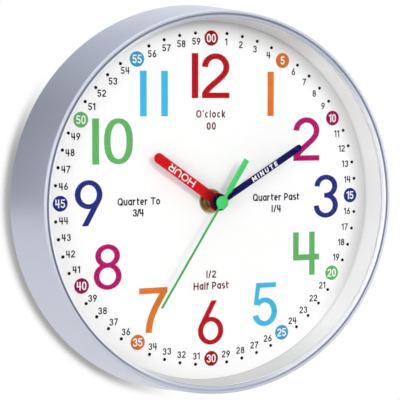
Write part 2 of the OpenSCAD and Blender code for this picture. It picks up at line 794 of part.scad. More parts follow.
module coil_bobbin() {
    low = coil_low[1] + coil_end;
    high = coil_top[1] - coil_end;
    slot_w = core_w + 2 * push_fit;
    slot_t = iron_t + 2 * push_fit;
    color("ivory") on_wall() difference() {
        union() {
            along_coil(low) rod(bobbin_r, 0, high - low);
            along_coil(low) rod(flange_r, 0, flange_t);
            along_coil(high - flange_t) rod(flange_r, 0, flange_t);
        }
        slab(coil_x - slot_w / 2, coil_x + slot_w / 2, low - over, high + over,
            coil_z - slot_t / 2, coil_z + slot_t / 2);
    }
}

module coil_winding() {
    low = coil_low[1] + coil_end + flange_t;
    high = coil_top[1] - coil_end - flange_t;
    color("chocolate") on_wall() along_coil(low) ring(winding_r, bobbin_r + push_fit, 0, high - low);
}

module rotor_magnet() {
    color("dimgray") on_wall() at(rotor_p)
        ring(magnet_r, 2 * arbor_r + push_fit, magnet_front_z - magnet_t, magnet_front_z);
}

module rotor_pinion() {
    color("white") on_wall() at(rotor_p) {
        rod(arbor_r, lid_z - pivot_len + end_play, plate_front_z);
        rod(2 * arbor_r, magnet_front_z - magnet_t, magnet_front_z);
        gear(pinion_n, rotor_m, magnet_front_z, gear_t + layer_gap + side_gap, rotor_phase);
    }
}

module fifth_wheel() {
    color("white") on_wall() at(fifth_p) {
        rod(arbor_r, lid_z - pivot_len + end_play, plate_front_z);
        gear(fifth_n, rotor_m, fifth_gear_z, gear_t, 0);
        gear(pinion_n, seconds_m, fifth_gear_z + gear_t - e, 2 * layer_gap + gear_t, fifth_pinion_phase);
    }
}

module seconds_wheel() {
    color("white") on_wall() difference() {
        union() {
            gear(seconds_n, seconds_m, seconds_gear_z, gear_t, 0);
            gear(pinion_n, third_m, seconds_gear_z + gear_t - e, 2 * layer_gap + gear_t - end_play, 0);
        }
        rod(second_r + push_fit, seconds_gear_z - over, plate_back_z);
    }
}

module seconds_arbor() {
    color("silver") on_wall() rod(second_r, lid_z - pivot_len + end_play, second_z + second_hub_h / 2);
}

module third_wheel() {
    color("white") on_wall() at(third_p) {
        rod(arbor_r, lid_z - pivot_len + end_play, floor_z + pivot_len - end_play);
        gear(third_n, third_m, third_gear_z, gear_t, third_phase);
        gear(pinion_n, centre_m, third_gear_z + gear_t - e,
            centre_gear_z + gear_t + side_gap - third_gear_z - gear_t, 0);
    }
}

module centre_wheel() {
    color("white") on_wall() difference() {
        gear(centre_n, centre_m, centre_gear_z, gear_t, centre_phase);
        rod(minute_r + run_fit, centre_gear_z - over, centre_gear_z + gear_t + over);
    }
}

module minute_tube() {
    color("white") on_wall() difference() {
        union() {
            rod(minute_r, plate_front_z + end_play, minute_z + 2 * hand_t);
            gear(cannon_n, motion_m, motion_gear_z - end_play, gear_t + 2 * end_play, 0);
        }
        rod(second_r + run_fit, plate_front_z - over, minute_z + 2 * hand_t + over);
    }
}

module motion_wheel() {
    color("white") on_wall() at(motion_p) {
        rod(arbor_r, plate_back_z + end_play, floor_z + pivot_len - end_play);
        gear(motion_n, motion_m, motion_gear_z, gear_t, motion_phase);
        gear(pinion_n, hour_m, motion_gear_z + gear_t - e, layer_gap + gear_t + end_play, 0);
    }
}

module hour_wheel() {
    tube_top = hour_z + hand_t + layer_gap;
    color("white") on_wall() difference() {
        union() {
            gear(hour_n, hour_m, hour_gear_z, gear_t, hour_phase);
            rod(hour_r, hour_gear_z, tube_top);
        }
        rod(minute_r + run_fit, hour_gear_z - over, tube_top + over);
    }
}

module setting_arbor() {
    color("white") on_wall() at(knob_p) {
        rod(knob_arbor_r, mv_back_z - knob_h, floor_z + pivot_len - end_play);
        gear(cannon_n, motion_m, motion_gear_z - end_play, gear_t + 2 * end_play, knob_phase);
    }
}

module setting_knob() {
    color([0.9, 0.9, 0.88]) on_wall() at(knob_p) difference() {
        rod(knob_r, mv_back_z - side_gap - knob_h, mv_back_z - side_gap);
        rod(knob_arbor_r + push_fit, mv_back_z - knob_h - push_fit, mv_back_z + over);
        for (k = [0:knob_grooves - 1]) at(polar(knob_r, 360 * k / knob_grooves))
            rod(knob_groove_r, mv_back_z - knob_h - over, mv_back_z);
    }
}

// A straight bar from the axis outwards, pointing to twelve
module bar(w, y0, y1) {
    translate([-w / 2, y0]) square([w, y1 - y0]);
}

module hand_at(angle, z, t) {
    rotate([0, 0, -angle]) translate([0, 0, z]) linear_extrude(height = t) children();
}

module hour_hand() {
    color("red") on_wall() difference() {
        union() {
            hand_at(hour_angle, hour_z, hand_t) {
                circle(r = hour_disc_r);
                bar(hour_w, 0, hour_len - hour_w / 2);
                translate([0, hour_len - hour_w / 2]) circle(d = hour_w);
            }
            rod(hour_r + collet_wall, hour_z - collet_len, hour_z + e);
        }
        rod(hour_r + push_fit, hour_z - collet_len - over, hour_z + hand_t + over);
    }
}

module minute_hand() {
    color("midnightblue") on_wall() difference() {
        union() {
            hand_at(minute_angle, minute_z, hand_t) {
                circle(r = minute_disc_r);
                bar(minute_w, 0, minute_len - minute_w / 2);
                translate([0, minute_len - minute_w / 2]) circle(d = minute_w);
            }
            rod(minute_step_r, minute_z, minute_z + 2 * hand_t);
            rod(minute_r + collet_wall, minute_z - collet_len, minute_z + e);
        }
        rod(minute_r + push_fit, minute_z - collet_len - over, minute_z + 2 * hand_t + over);
    }
}

module second_hand() {
    color("limegreen") on_wall() difference() {
        union() {
            hand_at(second_angle, second_z, hand_t) {
                circle(r = second_hub_r);
                bar(second_w, 0, second_len);
                bar(neck_w, -neck_len, 0);
                bar(tail_w, -tail_len, -neck_len);
            }
            rod(second_hub_r - second_hub_step, second_z, second_z + second_hub_h);
            rod(second_r + collet_wall, second_z - collet_len, second_z + e);
        }
        rod(second_r + push_fit, second_z - collet_len - over, second_z + second_hub_h / 2);
    }
}

case();
glass();
white_ring();
dial();
back_cover();
cover_screws();
movement_housing();
train_plate();
movement_cover();
threaded_bush();
rubber_washer();
brass_washer();
brass_nut();
battery_cell();
plus_contact();
minus_contact();
circuit_board();
chip_cover();
crystal();
stator();
coil_core();
coil_bobbin();
coil_winding();
rotor_magnet();
rotor_pinion();
fifth_wheel();
seconds_wheel();
seconds_arbor();
second_hand();
third_wheel();
centre_wheel();
minute_tube();
minute_hand();
motion_wheel();
hour_wheel();
hour_hand();
setting_arbor();
setting_knob();
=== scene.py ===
import math

import bpy
from mathutils import Matrix, Vector


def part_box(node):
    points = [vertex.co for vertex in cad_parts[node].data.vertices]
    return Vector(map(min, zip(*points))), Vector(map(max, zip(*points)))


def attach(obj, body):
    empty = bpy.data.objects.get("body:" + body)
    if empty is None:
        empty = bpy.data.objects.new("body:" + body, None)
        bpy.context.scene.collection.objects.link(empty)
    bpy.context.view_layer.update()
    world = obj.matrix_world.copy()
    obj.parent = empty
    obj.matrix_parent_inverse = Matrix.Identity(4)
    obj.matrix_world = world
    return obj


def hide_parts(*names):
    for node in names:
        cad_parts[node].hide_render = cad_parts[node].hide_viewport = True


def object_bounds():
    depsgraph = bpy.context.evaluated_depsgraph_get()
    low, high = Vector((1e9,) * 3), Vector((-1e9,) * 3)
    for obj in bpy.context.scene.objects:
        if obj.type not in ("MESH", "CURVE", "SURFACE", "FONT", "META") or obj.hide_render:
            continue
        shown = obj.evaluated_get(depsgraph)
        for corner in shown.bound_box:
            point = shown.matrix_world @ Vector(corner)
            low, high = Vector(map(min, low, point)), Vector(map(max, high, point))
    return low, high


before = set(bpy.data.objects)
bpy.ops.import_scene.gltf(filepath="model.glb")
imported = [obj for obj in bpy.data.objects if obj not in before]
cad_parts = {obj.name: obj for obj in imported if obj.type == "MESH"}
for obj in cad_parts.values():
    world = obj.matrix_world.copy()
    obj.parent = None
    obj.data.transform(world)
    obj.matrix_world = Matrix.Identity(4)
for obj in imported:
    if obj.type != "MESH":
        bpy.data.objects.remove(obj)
cad_low, cad_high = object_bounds()

# Everything is modelled in millimetres on the dial's plane, x right, y up, z towards
# the viewer, and then turned onto the wall in metres.
MM = 0.001
dial_low, dial_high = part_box("dial")
DIAL_FRONT = dial_low.y
CENTRE_Z = (dial_low.z + dial_high.z) / 2
TO_WALL = (
    Matrix.Translation((0, DIAL_FRONT, CENTRE_Z))
    @ Matrix.Rotation(math.radians(90), 4, "X")
    @ Matrix.Scale(MM, 4)
)


def depth(node):
    """Heights of a node's back and front above the dial, in millimetres."""
    low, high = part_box(node)
    return (DIAL_FRONT - high.y) / MM, (DIAL_FRONT - low.y) / MM


def radius(node):
    low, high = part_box(node)
    return (high.x - low.x) / 2 / MM


# Section of the case and the white ring
STACK_FIT = 0.3
FRONT_WALL = 3.9
SHELL_T = 2.6
BORE_WALL = 1.8
LIP_W = 2.4
LIP_T = 1.8
LIP_TOP_W = 0.3
LIP_SINK = 0.3
LIP_EDGE = 0.25
GROOVE_W = 1.2
GROOVE_H = 1.5
GROOVE_DRAFT = 0.12
FRONT_ROUND = 1.4
BEAD_ROUND = 0.9
BACK_ROUND = 1.6
RING_FOOT_W = 3.2
RING_TOP_W = 1.9
RING_RELIEF = 0.35

# Clock angles of the hands at rest, clockwise from twelve
MINUTE_ANGLE = 59.28
HOUR_ANGLE = 304.94
SECOND_ANGLE = 212.82

# Width of the raised rim on the brass washer
WASHER_LAND = 1.1

# Directions on the dial, some with their degrees above or below level
UP = (0, 0, 1)
DOWN = (0, 0, -1)
RIGHT = (1, 0, 0)
RIGHT_32_UP = (0.85, 0, 0.53)
RIGHT_32_DOWN = (0.85, 0, -0.53)
RIGHT_20_DOWN = (0.94, 0, -0.34)


# Working with one piece at a time


def only(*pieces):
    bpy.ops.object.select_all(action="DESELECT")
    for piece in pieces:
        piece.select_set(True)
    bpy.context.view_layer.objects.active = pieces[0]


def edit(piece):
    only(piece)
    bpy.ops.object.mode_set(mode="EDIT")
    bpy.ops.mesh.select_all(action="SELECT")


def leave():
    bpy.ops.object.mode_set(mode="OBJECT")


def settle(piece):
    """Takes a piece's place, turn and scale into its mesh."""
    only(piece)
    bpy.ops.object.transform_apply(location=True, rotation=True, scale=True)


def shaped(points, primitive, **plan):
    """A primitive with its points moved onto these."""
    primitive(**plan)
    piece = bpy.context.active_object
    for vertex, point in zip(piece.data.vertices, points):
        vertex.co = point
    return piece


def clean(piece):
    edit(piece)
    bpy.ops.mesh.remove_doubles(threshold=1e-4)
    bpy.ops.mesh.normals_make_consistent(inside=False)
    leave()


def apply_modifier(piece, kind, **settings):
    only(piece)
    modifier = piece.modifiers.new(kind.lower(), kind)
    for key, value in settings.items():
        setattr(modifier, key, value)
    bpy.ops.object.modifier_apply(modifier=modifier.name)


def combine(piece, other, operation="UNION"):
    apply_modifier(piece, "BOOLEAN", operation=operation, object=other, solver="EXACT")
    bpy.data.objects.remove(other)


def weld(pieces):
    only(*pieces)
    if len(pieces) > 1:
        bpy.ops.object.join()
    return pieces[0]


def discard(pieces):
    for piece in pieces:
        bpy.data.objects.remove(piece)


def soften(piece, width, segments=2, angle=30):
    limit = {"limit_method": "ANGLE", "angle_limit": math.radians(angle)}
    apply_modifier(piece, "BEVEL", width=width, segments=segments, **limit)


def onto_clock(piece, name, body, material, smooth=35):
    """Turns a finished piece onto the wall, with its place in its mesh, and lets it ride."""
    piece.name = name
    piece.data.name = name
    piece.matrix_world = TO_WALL
    settle(piece)
    bpy.ops.object.shade_smooth_by_angle(angle=math.radians(smooth))
    piece.data.materials.clear()
    piece.data.materials.append(material)
    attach(piece, body)


def turned(outline, steps):
    """A closed outline of (radius, height) spun about the clock's axis."""
    points = [(r, 0, z) for r, z in outline]
    piece = shaped(points, bpy.ops.mesh.primitive_circle_add, vertices=len(points))
    edit(piece)
    bpy.ops.mesh.spin(
        steps=steps, angle=math.tau, center=(0, 0, 0), axis=(0, 0, 1), use_auto_merge=True
    )
    leave()
    clean(piece)
    return piece


def thicken(piece, thickness):
    """Makes a flat piece solid, upwards."""
    up = piece.data.polygons[0].normal.z > 0
    apply_modifier(piece, "SOLIDIFY", thickness=thickness, offset=1 if up else -1)


def plate(outline, z, thickness):
    """A flat plate with that outline of (x, y), from height z upwards."""
    points = [(x, y, z) for x, y in outline]
    loop = bpy.ops.mesh.primitive_circle_add
    piece = shaped(points, loop, vertices=len(points), fill_type="NGON")
    clean(piece)
    thicken(piece, thickness)
    return piece


def rod(radius_mm, z0, z1, sides=64):
    bpy.ops.mesh.primitive_cylinder_add(
        vertices=sides, radius=radius_mm, depth=z1 - z0, location=(0, 0, (z0 + z1) / 2)
    )
    piece = bpy.context.active_object
    settle(piece)
    return piece


def arc(cx, cy, rx, ry, start, end, step=15):
    """Points on an ellipse from one angle to another, in degrees, the way they are given."""
    count = max(2, math.ceil(abs(end - start) / step))
    angles = [math.radians(start + (end - start) * i / count) for i in range(count + 1)]
    return [(cx + rx * math.cos(a), cy + ry * math.sin(a)) for a in angles]


def circle_arc(cx, cy, r, start, end, step):
    """Points on a circle, as on an ellipse."""
    return arc(cx, cy, r, r, start, end, step)


# Materials


def linear(r, g, b):
    """A colour as it shows, 0 to 255, as Blender's own numbers."""
    parts = [c / 255 for c in (r, g, b)]
    return tuple(
        c / 12.92 if c <= 0.04045 else ((c + 0.055) / 1.055) ** 2.4 for c in parts
    ) + (1,)


class Tree:
    """Nodes and links of a material or a world."""

    def __init__(self, owner):
        owner.use_nodes = True
        self.nodes = owner.node_tree.nodes
        self.links = owner.node_tree.links

    def put(self, value, socket):
        """Links an output to a socket, or gives the socket a value of its own."""
        if isinstance(value, bpy.types.NodeSocket):
            self.links.new(value, socket)
        else:
            socket.default_value = value

    def add(self, kind, inputs=None, **settings):
        node = self.nodes.new(kind)
        for key, value in settings.items():
            setattr(node, key, value)
        for key, value in (inputs or {}).items():
            self.put(value, node.inputs[key])
        return node

    def math(self, operation, *values):
        node = self.add("ShaderNodeMath", dict(enumerate(values)), operation=operation)
        return node.outputs["Value"]

    def vector(self, operation, output, *values):
        node = self.add("ShaderNodeVectorMath", dict(enumerate(values)), operation=operation)
        return node.outputs[output]

    def ramp(self, value, start, end, low, high, kind="SMOOTHSTEP"):
        """Runs from low to high while a value runs from start to end."""
        limits = {"From Min": start, "From Max": end, "To Min": low, "To Max": high}
        node = self.add("ShaderNodeMapRange", {"Value": value, **limits}, interpolation_type=kind)
        return node.outputs["Result"]

    def mix(self, share, first, second):
        """A shader between two others, with that share of the second."""
        inputs = {0: share, 1: first.outputs[0], 2: second.outputs[0]}
        return self.add("ShaderNodeMixShader", inputs)

    def surface(self, shader):
        self.put(shader.outputs[0], self.nodes["Material Output"].inputs["Surface"])


# Part of a noise's range that is drawn out to full strength
NOISE_LOW = 0.3
NOISE_HIGH = 0.7


class Finish(Tree):
    """A material under construction, with its shader and its object coordinates."""

    def __init__(self, name, colour, rough, metal=0.0, shine=0.5):
        self.material = bpy.data.materials.new(name)
        super().__init__(self.material)
        self.shader = self.nodes["Principled BSDF"]
        self.colour = colour
        self.set("Base Color", colour)
        self.set("Roughness", rough)
        self.set("Metallic", metal)
        self.set("Specular IOR Level", shine)
        self.coords = self.add("ShaderNodeTexCoord").outputs["Object"]

    def set(self, name, value):
        self.put(value, self.shader.inputs[name])

    def noise(self, scale, detail, rough=0.55, stretch=(1, 1, 1)):
        place = self.add("ShaderNodeMapping", {"Vector": self.coords, "Scale": stretch})
        grain = {"Scale": scale, "Detail": detail, "Roughness": rough}
        node = self.add("ShaderNodeTexNoise", {"Vector": place.outputs["Vector"], **grain})
        return node.outputs["Fac"]

    def spread(self, source, low, high):
        return self.ramp(source, NOISE_LOW, NOISE_HIGH, low, high, "LINEAR")

    def from_axis(self):
        """Object coordinates measured from the clock's axis."""
        place = {"Vector": self.coords, "Location": (0, 0, -CENTRE_Z)}
        return self.add("ShaderNodeMapping", place).outputs["Vector"]

    def radius(self):
        """Distance from the clock's axis, in metres."""
        flat = self.vector("MULTIPLY", "Vector", self.from_axis(), (1, 0, 1))
        return self.vector("LENGTH", "Value", flat)

    def by_radius(self, start, end, low, high):
        """A ramp between two distances from the clock's axis, in millimetres."""
        return self.ramp(self.radius(), start * MM, end * MM, low, high)

    def along(self, direction, start, end, low, high):
        """A ramp between two distances along a direction from the axis, in millimetres."""
        way = self.vector("DOT_PRODUCT", "Value", self.from_axis(), direction)
        return self.ramp(way, start * MM, end * MM, low, high)

    def paint(self):
        """The output that gives the colour so far."""
        return self.shader.inputs["Base Color"].links[0].from_socket

    def blend(self, share, first, second, kind="MIX"):
        inputs = {0: share, 6: first, 7: second}
        node = self.add("ShaderNodeMix", inputs, data_type="RGBA", blend_type=kind)
        self.set("Base Color", node.outputs[2])

    def mottle(self, source, other):
        """Colour that drifts from the finish's own towards another one."""
        self.blend(self.spread(source, 0, 1), self.colour, other)

    def tone(self, share):
        """Darkens the colour by a share between 0 and 1."""
        self.blend(1, self.paint(), share, "MULTIPLY")

    def uneven(self, source, low, high):
        self.set("Roughness", self.spread(source, low, high))

    def bump(self, source, millimetres, strength=0.6):
        relief = {"Strength": strength, "Distance": millimetres * MM, "Height": source}
        self.set("Normal", self.add("ShaderNodeBump", relief).outputs["Normal"])


def shade(colour, share):
    return tuple(c * share for c in colour[:3]) + (1,)


def moulded_finish(name, colour, rough, grain=900, depth_mm=0.02, tint=0.9, shine=0.5):
    """Moulded plastic: a fine spark-eroded grain and a slow drift in colour and gloss."""
    f = Finish(name, colour, rough, shine=shine)
    f.mottle(f.noise(35, 2), shade(colour, tint))
    f.uneven(f.noise(160, 4), rough * 0.85, min(1, rough * 1.15))
    f.bump(f.noise(grain, 2), depth_mm)
    return f


def moulded(*plan, **more):
    return moulded_finish(*plan, **more).material


def lacquer(name, colour, tint):
    """Smooth lacquer on a hand."""
    return moulded_finish(name, colour, 0.5, grain=1500, depth_mm=0.004, tint=tint, shine=0.05)


def hand_lacquer(name, colour, start, end, low):
    """Lacquer with painted shade round the hub, where the parts above the hand would shadow it."""
    f = lacquer(name, colour, 0.92)
    # Painted shade, darkest near the hub and gone at the end radius
    f.tone(f.by_radius(start, end, low, 1))
    return f.material


def green_lacquer():
    """Green lacquer with painted shade along the second hand's pointer."""
    f = lacquer("hand_green_lacquer", linear(76, 210, 107), 0.94)
    turn = math.radians(SECOND_ANGLE)
    # Painted shade on the pointer's side of the hub
    f.tone(f.along((math.sin(turn), 0, math.cos(turn)), 4.8, 6.5, 1, 0.66))
    return f.material


def ring_plastic():
    """White moulded ring, with painted shade at the top, the bottom and along its foot."""
    white = linear(246, 246, 246)
    f = moulded_finish("ring_white_plastic", white, 0.42, grain=1200, depth_mm=0.01, tint=0.985)
    # Painted shade towards the top and the bottom, and a painted shadow line along the foot
    f.tone(f.along(UP, 98, 136, 1, 0.7))
    f.tone(f.along(DOWN, 95, 136, 1, 0.76))
    foot = radius("white_ring") - RING_FOOT_W
    f.tone(f.by_radius(foot + 0.06, foot + 0.2, 0.86, 1))
    return f.material


def printed_ink(name, colour):
    """Printed ink: an even film with a faint tooth from the screen it went through."""
    f = Finish(name, colour, 0.5, shine=0.06)
    f.mottle(f.noise(420, 3), shade(colour, 0.93))
    f.uneven(f.noise(900, 2), 0.42, 0.58)
    f.bump(f.noise(2600, 1), 0.004)
    return f.material


def turned_brass():
    """Brass from a lathe: fine rings about the clock's axis, darker inside the washer's rim."""
    colour = linear(216, 186, 128)
    rough = 0.34
    ring_pitch = 0.35
    f = Finish("turned_brass", colour, rough, metal=1.0)
    rings = f.math("MULTIPLY", f.radius(), math.tau / (ring_pitch * MM))
    f.mottle(f.noise(700, 3), shade(colour, 0.78))
    f.uneven(f.noise(300, 3), rough * 0.8, rough * 1.3)
    f.bump(f.math("SINE", rings), 0.006)
    land = radius("brass_washer") - WASHER_LAND
    f.tone(f.by_radius(land - 0.3, land + 0.1, 0.6, 1))
    return f.material


def drawn_metal(name, colour, rough, along=(1, 1, 1)):
    """Sheet or wire metal with faint drawing lines and small scuffs."""
    f = Finish(name, colour, rough, metal=1.0)
    f.mottle(f.noise(500, 3), shade(colour, 0.82))
    f.uneven(f.noise(800, 3, stretch=along), rough * 0.7, min(1, rough * 1.4))
    f.bump(f.noise(2200, 2, stretch=along), 0.004)
    return f.material


def silver_paint():
    """Satin silver lacquer with fine flakes and bare inside, with painted shade in the groove and along
    the lip's inner edge, and a painted highlight that pales the lip's crest on the left and right.
    """
    metal = 0.75
    f = Finish("case_silver_paint", linear(200, 204, 218), 0.33, metal)
    f.mottle(f.noise(3200, 2, 0.7), linear(197, 201, 215))
    f.uneven(f.noise(240, 3), 0.31, 0.36)
    f.bump(f.noise(620, 2), 0.002, 0.2)
    bore = radius("glass") + STACK_FIT
    lip = bore - LIP_W
    groove_in = bore + LIP_TOP_W
    groove_out = groove_in + GROOVE_W
    # Painted shade in the groove, strongest on the upper left and faint at the bottom
    groove = f.math(
        "MAXIMUM",
        f.by_radius(groove_in - 0.7, groove_in + 0.5, 1, 0.62),
        f.by_radius(groove_out - 0.4, groove_out + 0.2, 0.62, 1),
    )
    f.tone(f.math("MAXIMUM", groove, f.along(DOWN, 95, 135, 0, 0.95)))
    f.tone(f.math("MAXIMUM", groove, f.along(RIGHT_32_DOWN, -90, 10, 0, 1)))
    # Painted shade along the lip's inner edge, left out on the right
    edge = f.by_radius(lip + 0.3, lip + 0.8, 0.66, 1)
    f.tone(f.math("MAXIMUM", edge, f.along(RIGHT, 40, 120, 0, 1)))
    # Painted highlight: the lip's crest turns pale and less metallic on the left and right; the inner
    # face is bare all round
    crest = (groove_in - 0.6, groove_in - 0.1)
    left = f.math("MAXIMUM", f.by_radius(*crest, 0.45, 1), f.along(RIGHT, -110, -30, 0, 1))
    right = f.math("MAXIMUM", f.by_radius(*crest, 0.5, 1), f.along(RIGHT_20_DOWN, 60, 125, 1, 0))
    inside = f.by_radius(lip + 0.05, lip + 0.2, 0, 1)
    silver_share = f.math("MINIMUM", inside, f.math("MINIMUM", left, right))
    f.blend(silver_share, linear(244, 245, 248), f.paint())
    f.set("Metallic", f.math("MULTIPLY", silver_share, metal))
    return f.material


def dial_paper():
    """Smooth white card with a trace of fibre, with painted shade along its edge towards the upper
    right.
    """
    f = Finish("dial_card", linear(253, 253, 253), 0.7)
    f.mottle(f.noise(1400, 4, stretch=(1, 1, 0.35)), linear(250, 250, 249))
    f.uneven(f.noise(600, 3), 0.62, 0.78)
    f.bump(f.noise(2200, 3, stretch=(1, 1, 0.3)), 0.004, 0.4)
    # Painted shade near the edge, strongest towards the upper right
    edge = f.by_radius(118, 138, 0, 1)
    side = f.along(RIGHT_32_UP, 0, 100, 1, 0.58)
    f.tone(f.add("ShaderNodeMix", {0: edge, 2: 1, 3: side}).outputs[0])
    return f.material


def clear_pane():
    """Thin clear glass with a weak reflection that grows towards a grazing view."""
    material = bpy.data.materials.new("clear_pane")
    tree = Tree(material)
    clear = tree.add("ShaderNodeBsdfTransparent", {"Color": (0.992, 0.992, 0.992, 1)})
    gloss = tree.add("ShaderNodeBsdfGlossy", {"Roughness": 0.04})
    edge = tree.add("ShaderNodeLayerWeight", {"Blend": 0.09})
    tree.surface(tree.mix(edge.outputs["Fresnel"], clear, gloss))
    tree.nodes.remove(tree.nodes["Principled BSDF"])
    return material


INK = {
    "red": linear(184, 12, 26),
    "orange": linear(228, 120, 44),
    "magenta": linear(183, 12, 104),
    "navy": linear(35, 43, 129),
    "green": linear(98, 180, 101),
    "cyan": linear(62, 185, 230),
    "black": linear(5, 5, 6),
    "white": linear(248, 248, 248),
    "word_red": linear(104, 16, 28),
    "word_navy": linear(26, 22, 50),
}
# The small discs are printed more deeply than the hour figures, by these shares of light
DISC_SHARE = {"red": 0.7, "orange": 0.82, "magenta": 0.68, "navy": 1, "green": 1, "cyan": 0.73}
INK.update({"disc_" + name: shade(INK[name], share) for name, share in DISC_SHARE.items()})
INKS = {name: printed_ink("ink_" + name, colour) for name, colour in INK.items()}

SILVER = silver_paint()
RING_WHITE = ring_plastic()
CARD = dial_paper()
PANE = clear_pane()
COVER_GREY = moulded("cover_grey_plastic", linear(92, 94, 98), 0.55, grain=700, depth_mm=0.05)
BLACK_PLASTIC = moulded("movement_black_plastic", linear(38, 38, 40), 0.5, grain=800, depth_mm=0.04)
GEAR_WHITE = moulded("gear_white_plastic", linear(226, 224, 216), 0.4)
BRASS = turned_brass()
STEEL = drawn_metal("bright_steel", linear(196, 198, 202), 0.25)
RUBBER = moulded("washer_rubber", linear(34, 34, 35), 0.8, grain=500, depth_mm=0.05)
BOARD = moulded("board_green_resin", linear(28, 88, 50), 0.4, grain=300)
CHIP = moulded("chip_black_resin", linear(22, 22, 24), 0.3, grain=250, depth_mm=0.03)
IRON = drawn_metal("motor_iron", linear(150, 152, 156), 0.4, along=(1, 1, 0.1))
COPPER = drawn_metal("coil_copper", linear(184, 104, 66), 0.3, along=(1, 1, 8))
MAGNET = moulded("magnet_black_ferrite", linear(44, 42, 44), 0.6, grain=600, depth_mm=0.04)
HAND_RED = hand_lacquer("hand_red_lacquer", linear(208, 12, 24), start=6, end=17, low=0.4)
HAND_NAVY = hand_lacquer("hand_navy_lacquer", linear(17, 16, 84), start=7, end=18, low=0.45)
HAND_GREEN = green_lacquer()
KNOB_GREY = moulded("knob_grey_plastic", linear(214, 213, 208), 0.45)
JACKET = moulded("cell_grey_jacket", linear(86, 104, 120), 0.3, grain=1500, depth_mm=0.004)


# CAD nodes that keep their own shape

for node, material in {
    "dial": CARD,
    "glass": PANE,
    "back_cover": COVER_GREY,
    "cover_screws": STEEL,
    "movement_housing": BLACK_PLASTIC,
    "train_plate": GEAR_WHITE,
    "movement_cover": BLACK_PLASTIC,
    "rubber_washer": RUBBER,
    "battery_cell": JACKET,
    "plus_contact": STEEL,
    "minus_contact": STEEL,
    "circuit_board": BOARD,
    "chip_cover": CHIP,
    "crystal": STEEL,
    "stator": IRON,
    "coil_core": IRON,
    "coil_bobbin": GEAR_WHITE,
    "coil_winding": COPPER,
    "rotor_magnet": MAGNET,
    "rotor_pinion": GEAR_WHITE,
    "fifth_wheel": GEAR_WHITE,
    "seconds_wheel": GEAR_WHITE,
    "seconds_arbor": STEEL,
    "third_wheel": GEAR_WHITE,
    "centre_wheel": GEAR_WHITE,
    "minute_tube": GEAR_WHITE,
    "motion_wheel": GEAR_WHITE,
    "hour_wheel": GEAR_WHITE,
    "setting_arbor": GEAR_WHITE,
    "setting_knob": KNOB_GREY,
}.items():
    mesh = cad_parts[node].data
    mesh.materials.clear()
    mesh.materials.append(material)


# Case and white ring

CASE_BACK, CASE_FRONT = depth("case")
CASE_R = radius("case")
STACK_R = radius("glass")
GLASS_BACK, GLASS_FRONT = depth("glass")


def case_shell():
    bore = STACK_R + STACK_FIT
    front = bore + FRONT_WALL
    lip = bore - LIP_W
    lip_top = bore + LIP_TOP_W
    rim_in = lip_top + GROOVE_W
    tilt = math.degrees(math.atan2(CASE_R - front, CASE_FRONT - CASE_BACK))
    slope = (front - CASE_R) / (CASE_FRONT - CASE_BACK)
    roof = GLASS_FRONT - FRONT_WALL
    bore_end = depth("dial")[0] - BORE_WALL

    def inside(z):
        return CASE_R + slope * (z - CASE_BACK) - SHELL_T

    outline = [(bore, bore_end), (bore, GLASS_FRONT), (lip, GLASS_FRONT)]
    outline += [(lip, GLASS_FRONT + LIP_T - LIP_EDGE), (lip + LIP_EDGE, GLASS_FRONT + LIP_T)]
    outline += [(lip_top - LIP_EDGE, CASE_FRONT - LIP_SINK - LIP_EDGE / 4)]
    outline += [(lip_top, CASE_FRONT - LIP_SINK - LIP_EDGE)]
    outline += [(lip_top + GROOVE_DRAFT, CASE_FRONT - GROOVE_H)]
    outline += [(rim_in - GROOVE_DRAFT, CASE_FRONT - GROOVE_H)]
    outline += circle_arc(rim_in + BEAD_ROUND, CASE_FRONT - BEAD_ROUND, BEAD_ROUND, 180, 90, 9)
    outline += circle_arc(front - FRONT_ROUND, CASE_FRONT - FRONT_ROUND, FRONT_ROUND, 90, tilt, 9)
    outline += circle_arc(CASE_R - BACK_ROUND, CASE_BACK + BACK_ROUND, BACK_ROUND, tilt, -90, 12)
    outline += [(inside(CASE_BACK), CASE_BACK), (inside(roof), roof)]
    outline += [(bore + BORE_WALL, roof), (bore + BORE_WALL, bore_end)]
    piece = turned(outline, steps=256)
    onto_clock(piece, "case_shell", "clock_case", SILVER, 40)
    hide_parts("case")


def inner_ring():
    foot = STACK_R - RING_FOOT_W
    top = STACK_R - RING_TOP_W
    outline = [(STACK_R, 0), (STACK_R, GLASS_BACK), (top + RING_RELIEF, GLASS_BACK)]
    outline += [(top, GLASS_BACK - RING_RELIEF), (foot, RING_RELIEF), (foot + RING_RELIEF, 0)]
    piece = turned(outline, steps=256)
    onto_clock(piece, "inner_ring", "clock_case", RING_WHITE, 40)
    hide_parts("white_ring")


case_shell()
inner_ring()


# Characters, drawn with one stroke width on a box of width w and height h

PRINT_T = 0.06


def curve_to(start, lean_start, lean_end, end, count=10):
    """Points of a smooth bend between two points with a handle at each."""
    points = []
    for i in range(count + 1):
        t = i / count
        a, b, c, d = (1 - t) ** 3, 3 * t * (1 - t) ** 2, 3 * t * t * (1 - t), t**3
        places = zip(start, lean_start, lean_end, end)
        points.append(tuple(a * p + b * q + c * r + d * s for p, q, r, s in places))
    return points


def oval(cx, cy, rx, ry, power=2.3, count=40):
    """Points round a slightly squared ellipse."""
    points = []
    for i in range(count):
        x, y = math.cos(math.tau * i / count), math.sin(math.tau * i / count)
        x, y = (math.copysign(abs(v) ** (2 / power), v) for v in (x, y))
        points.append((cx + rx * x, cy + ry * y))
    return points


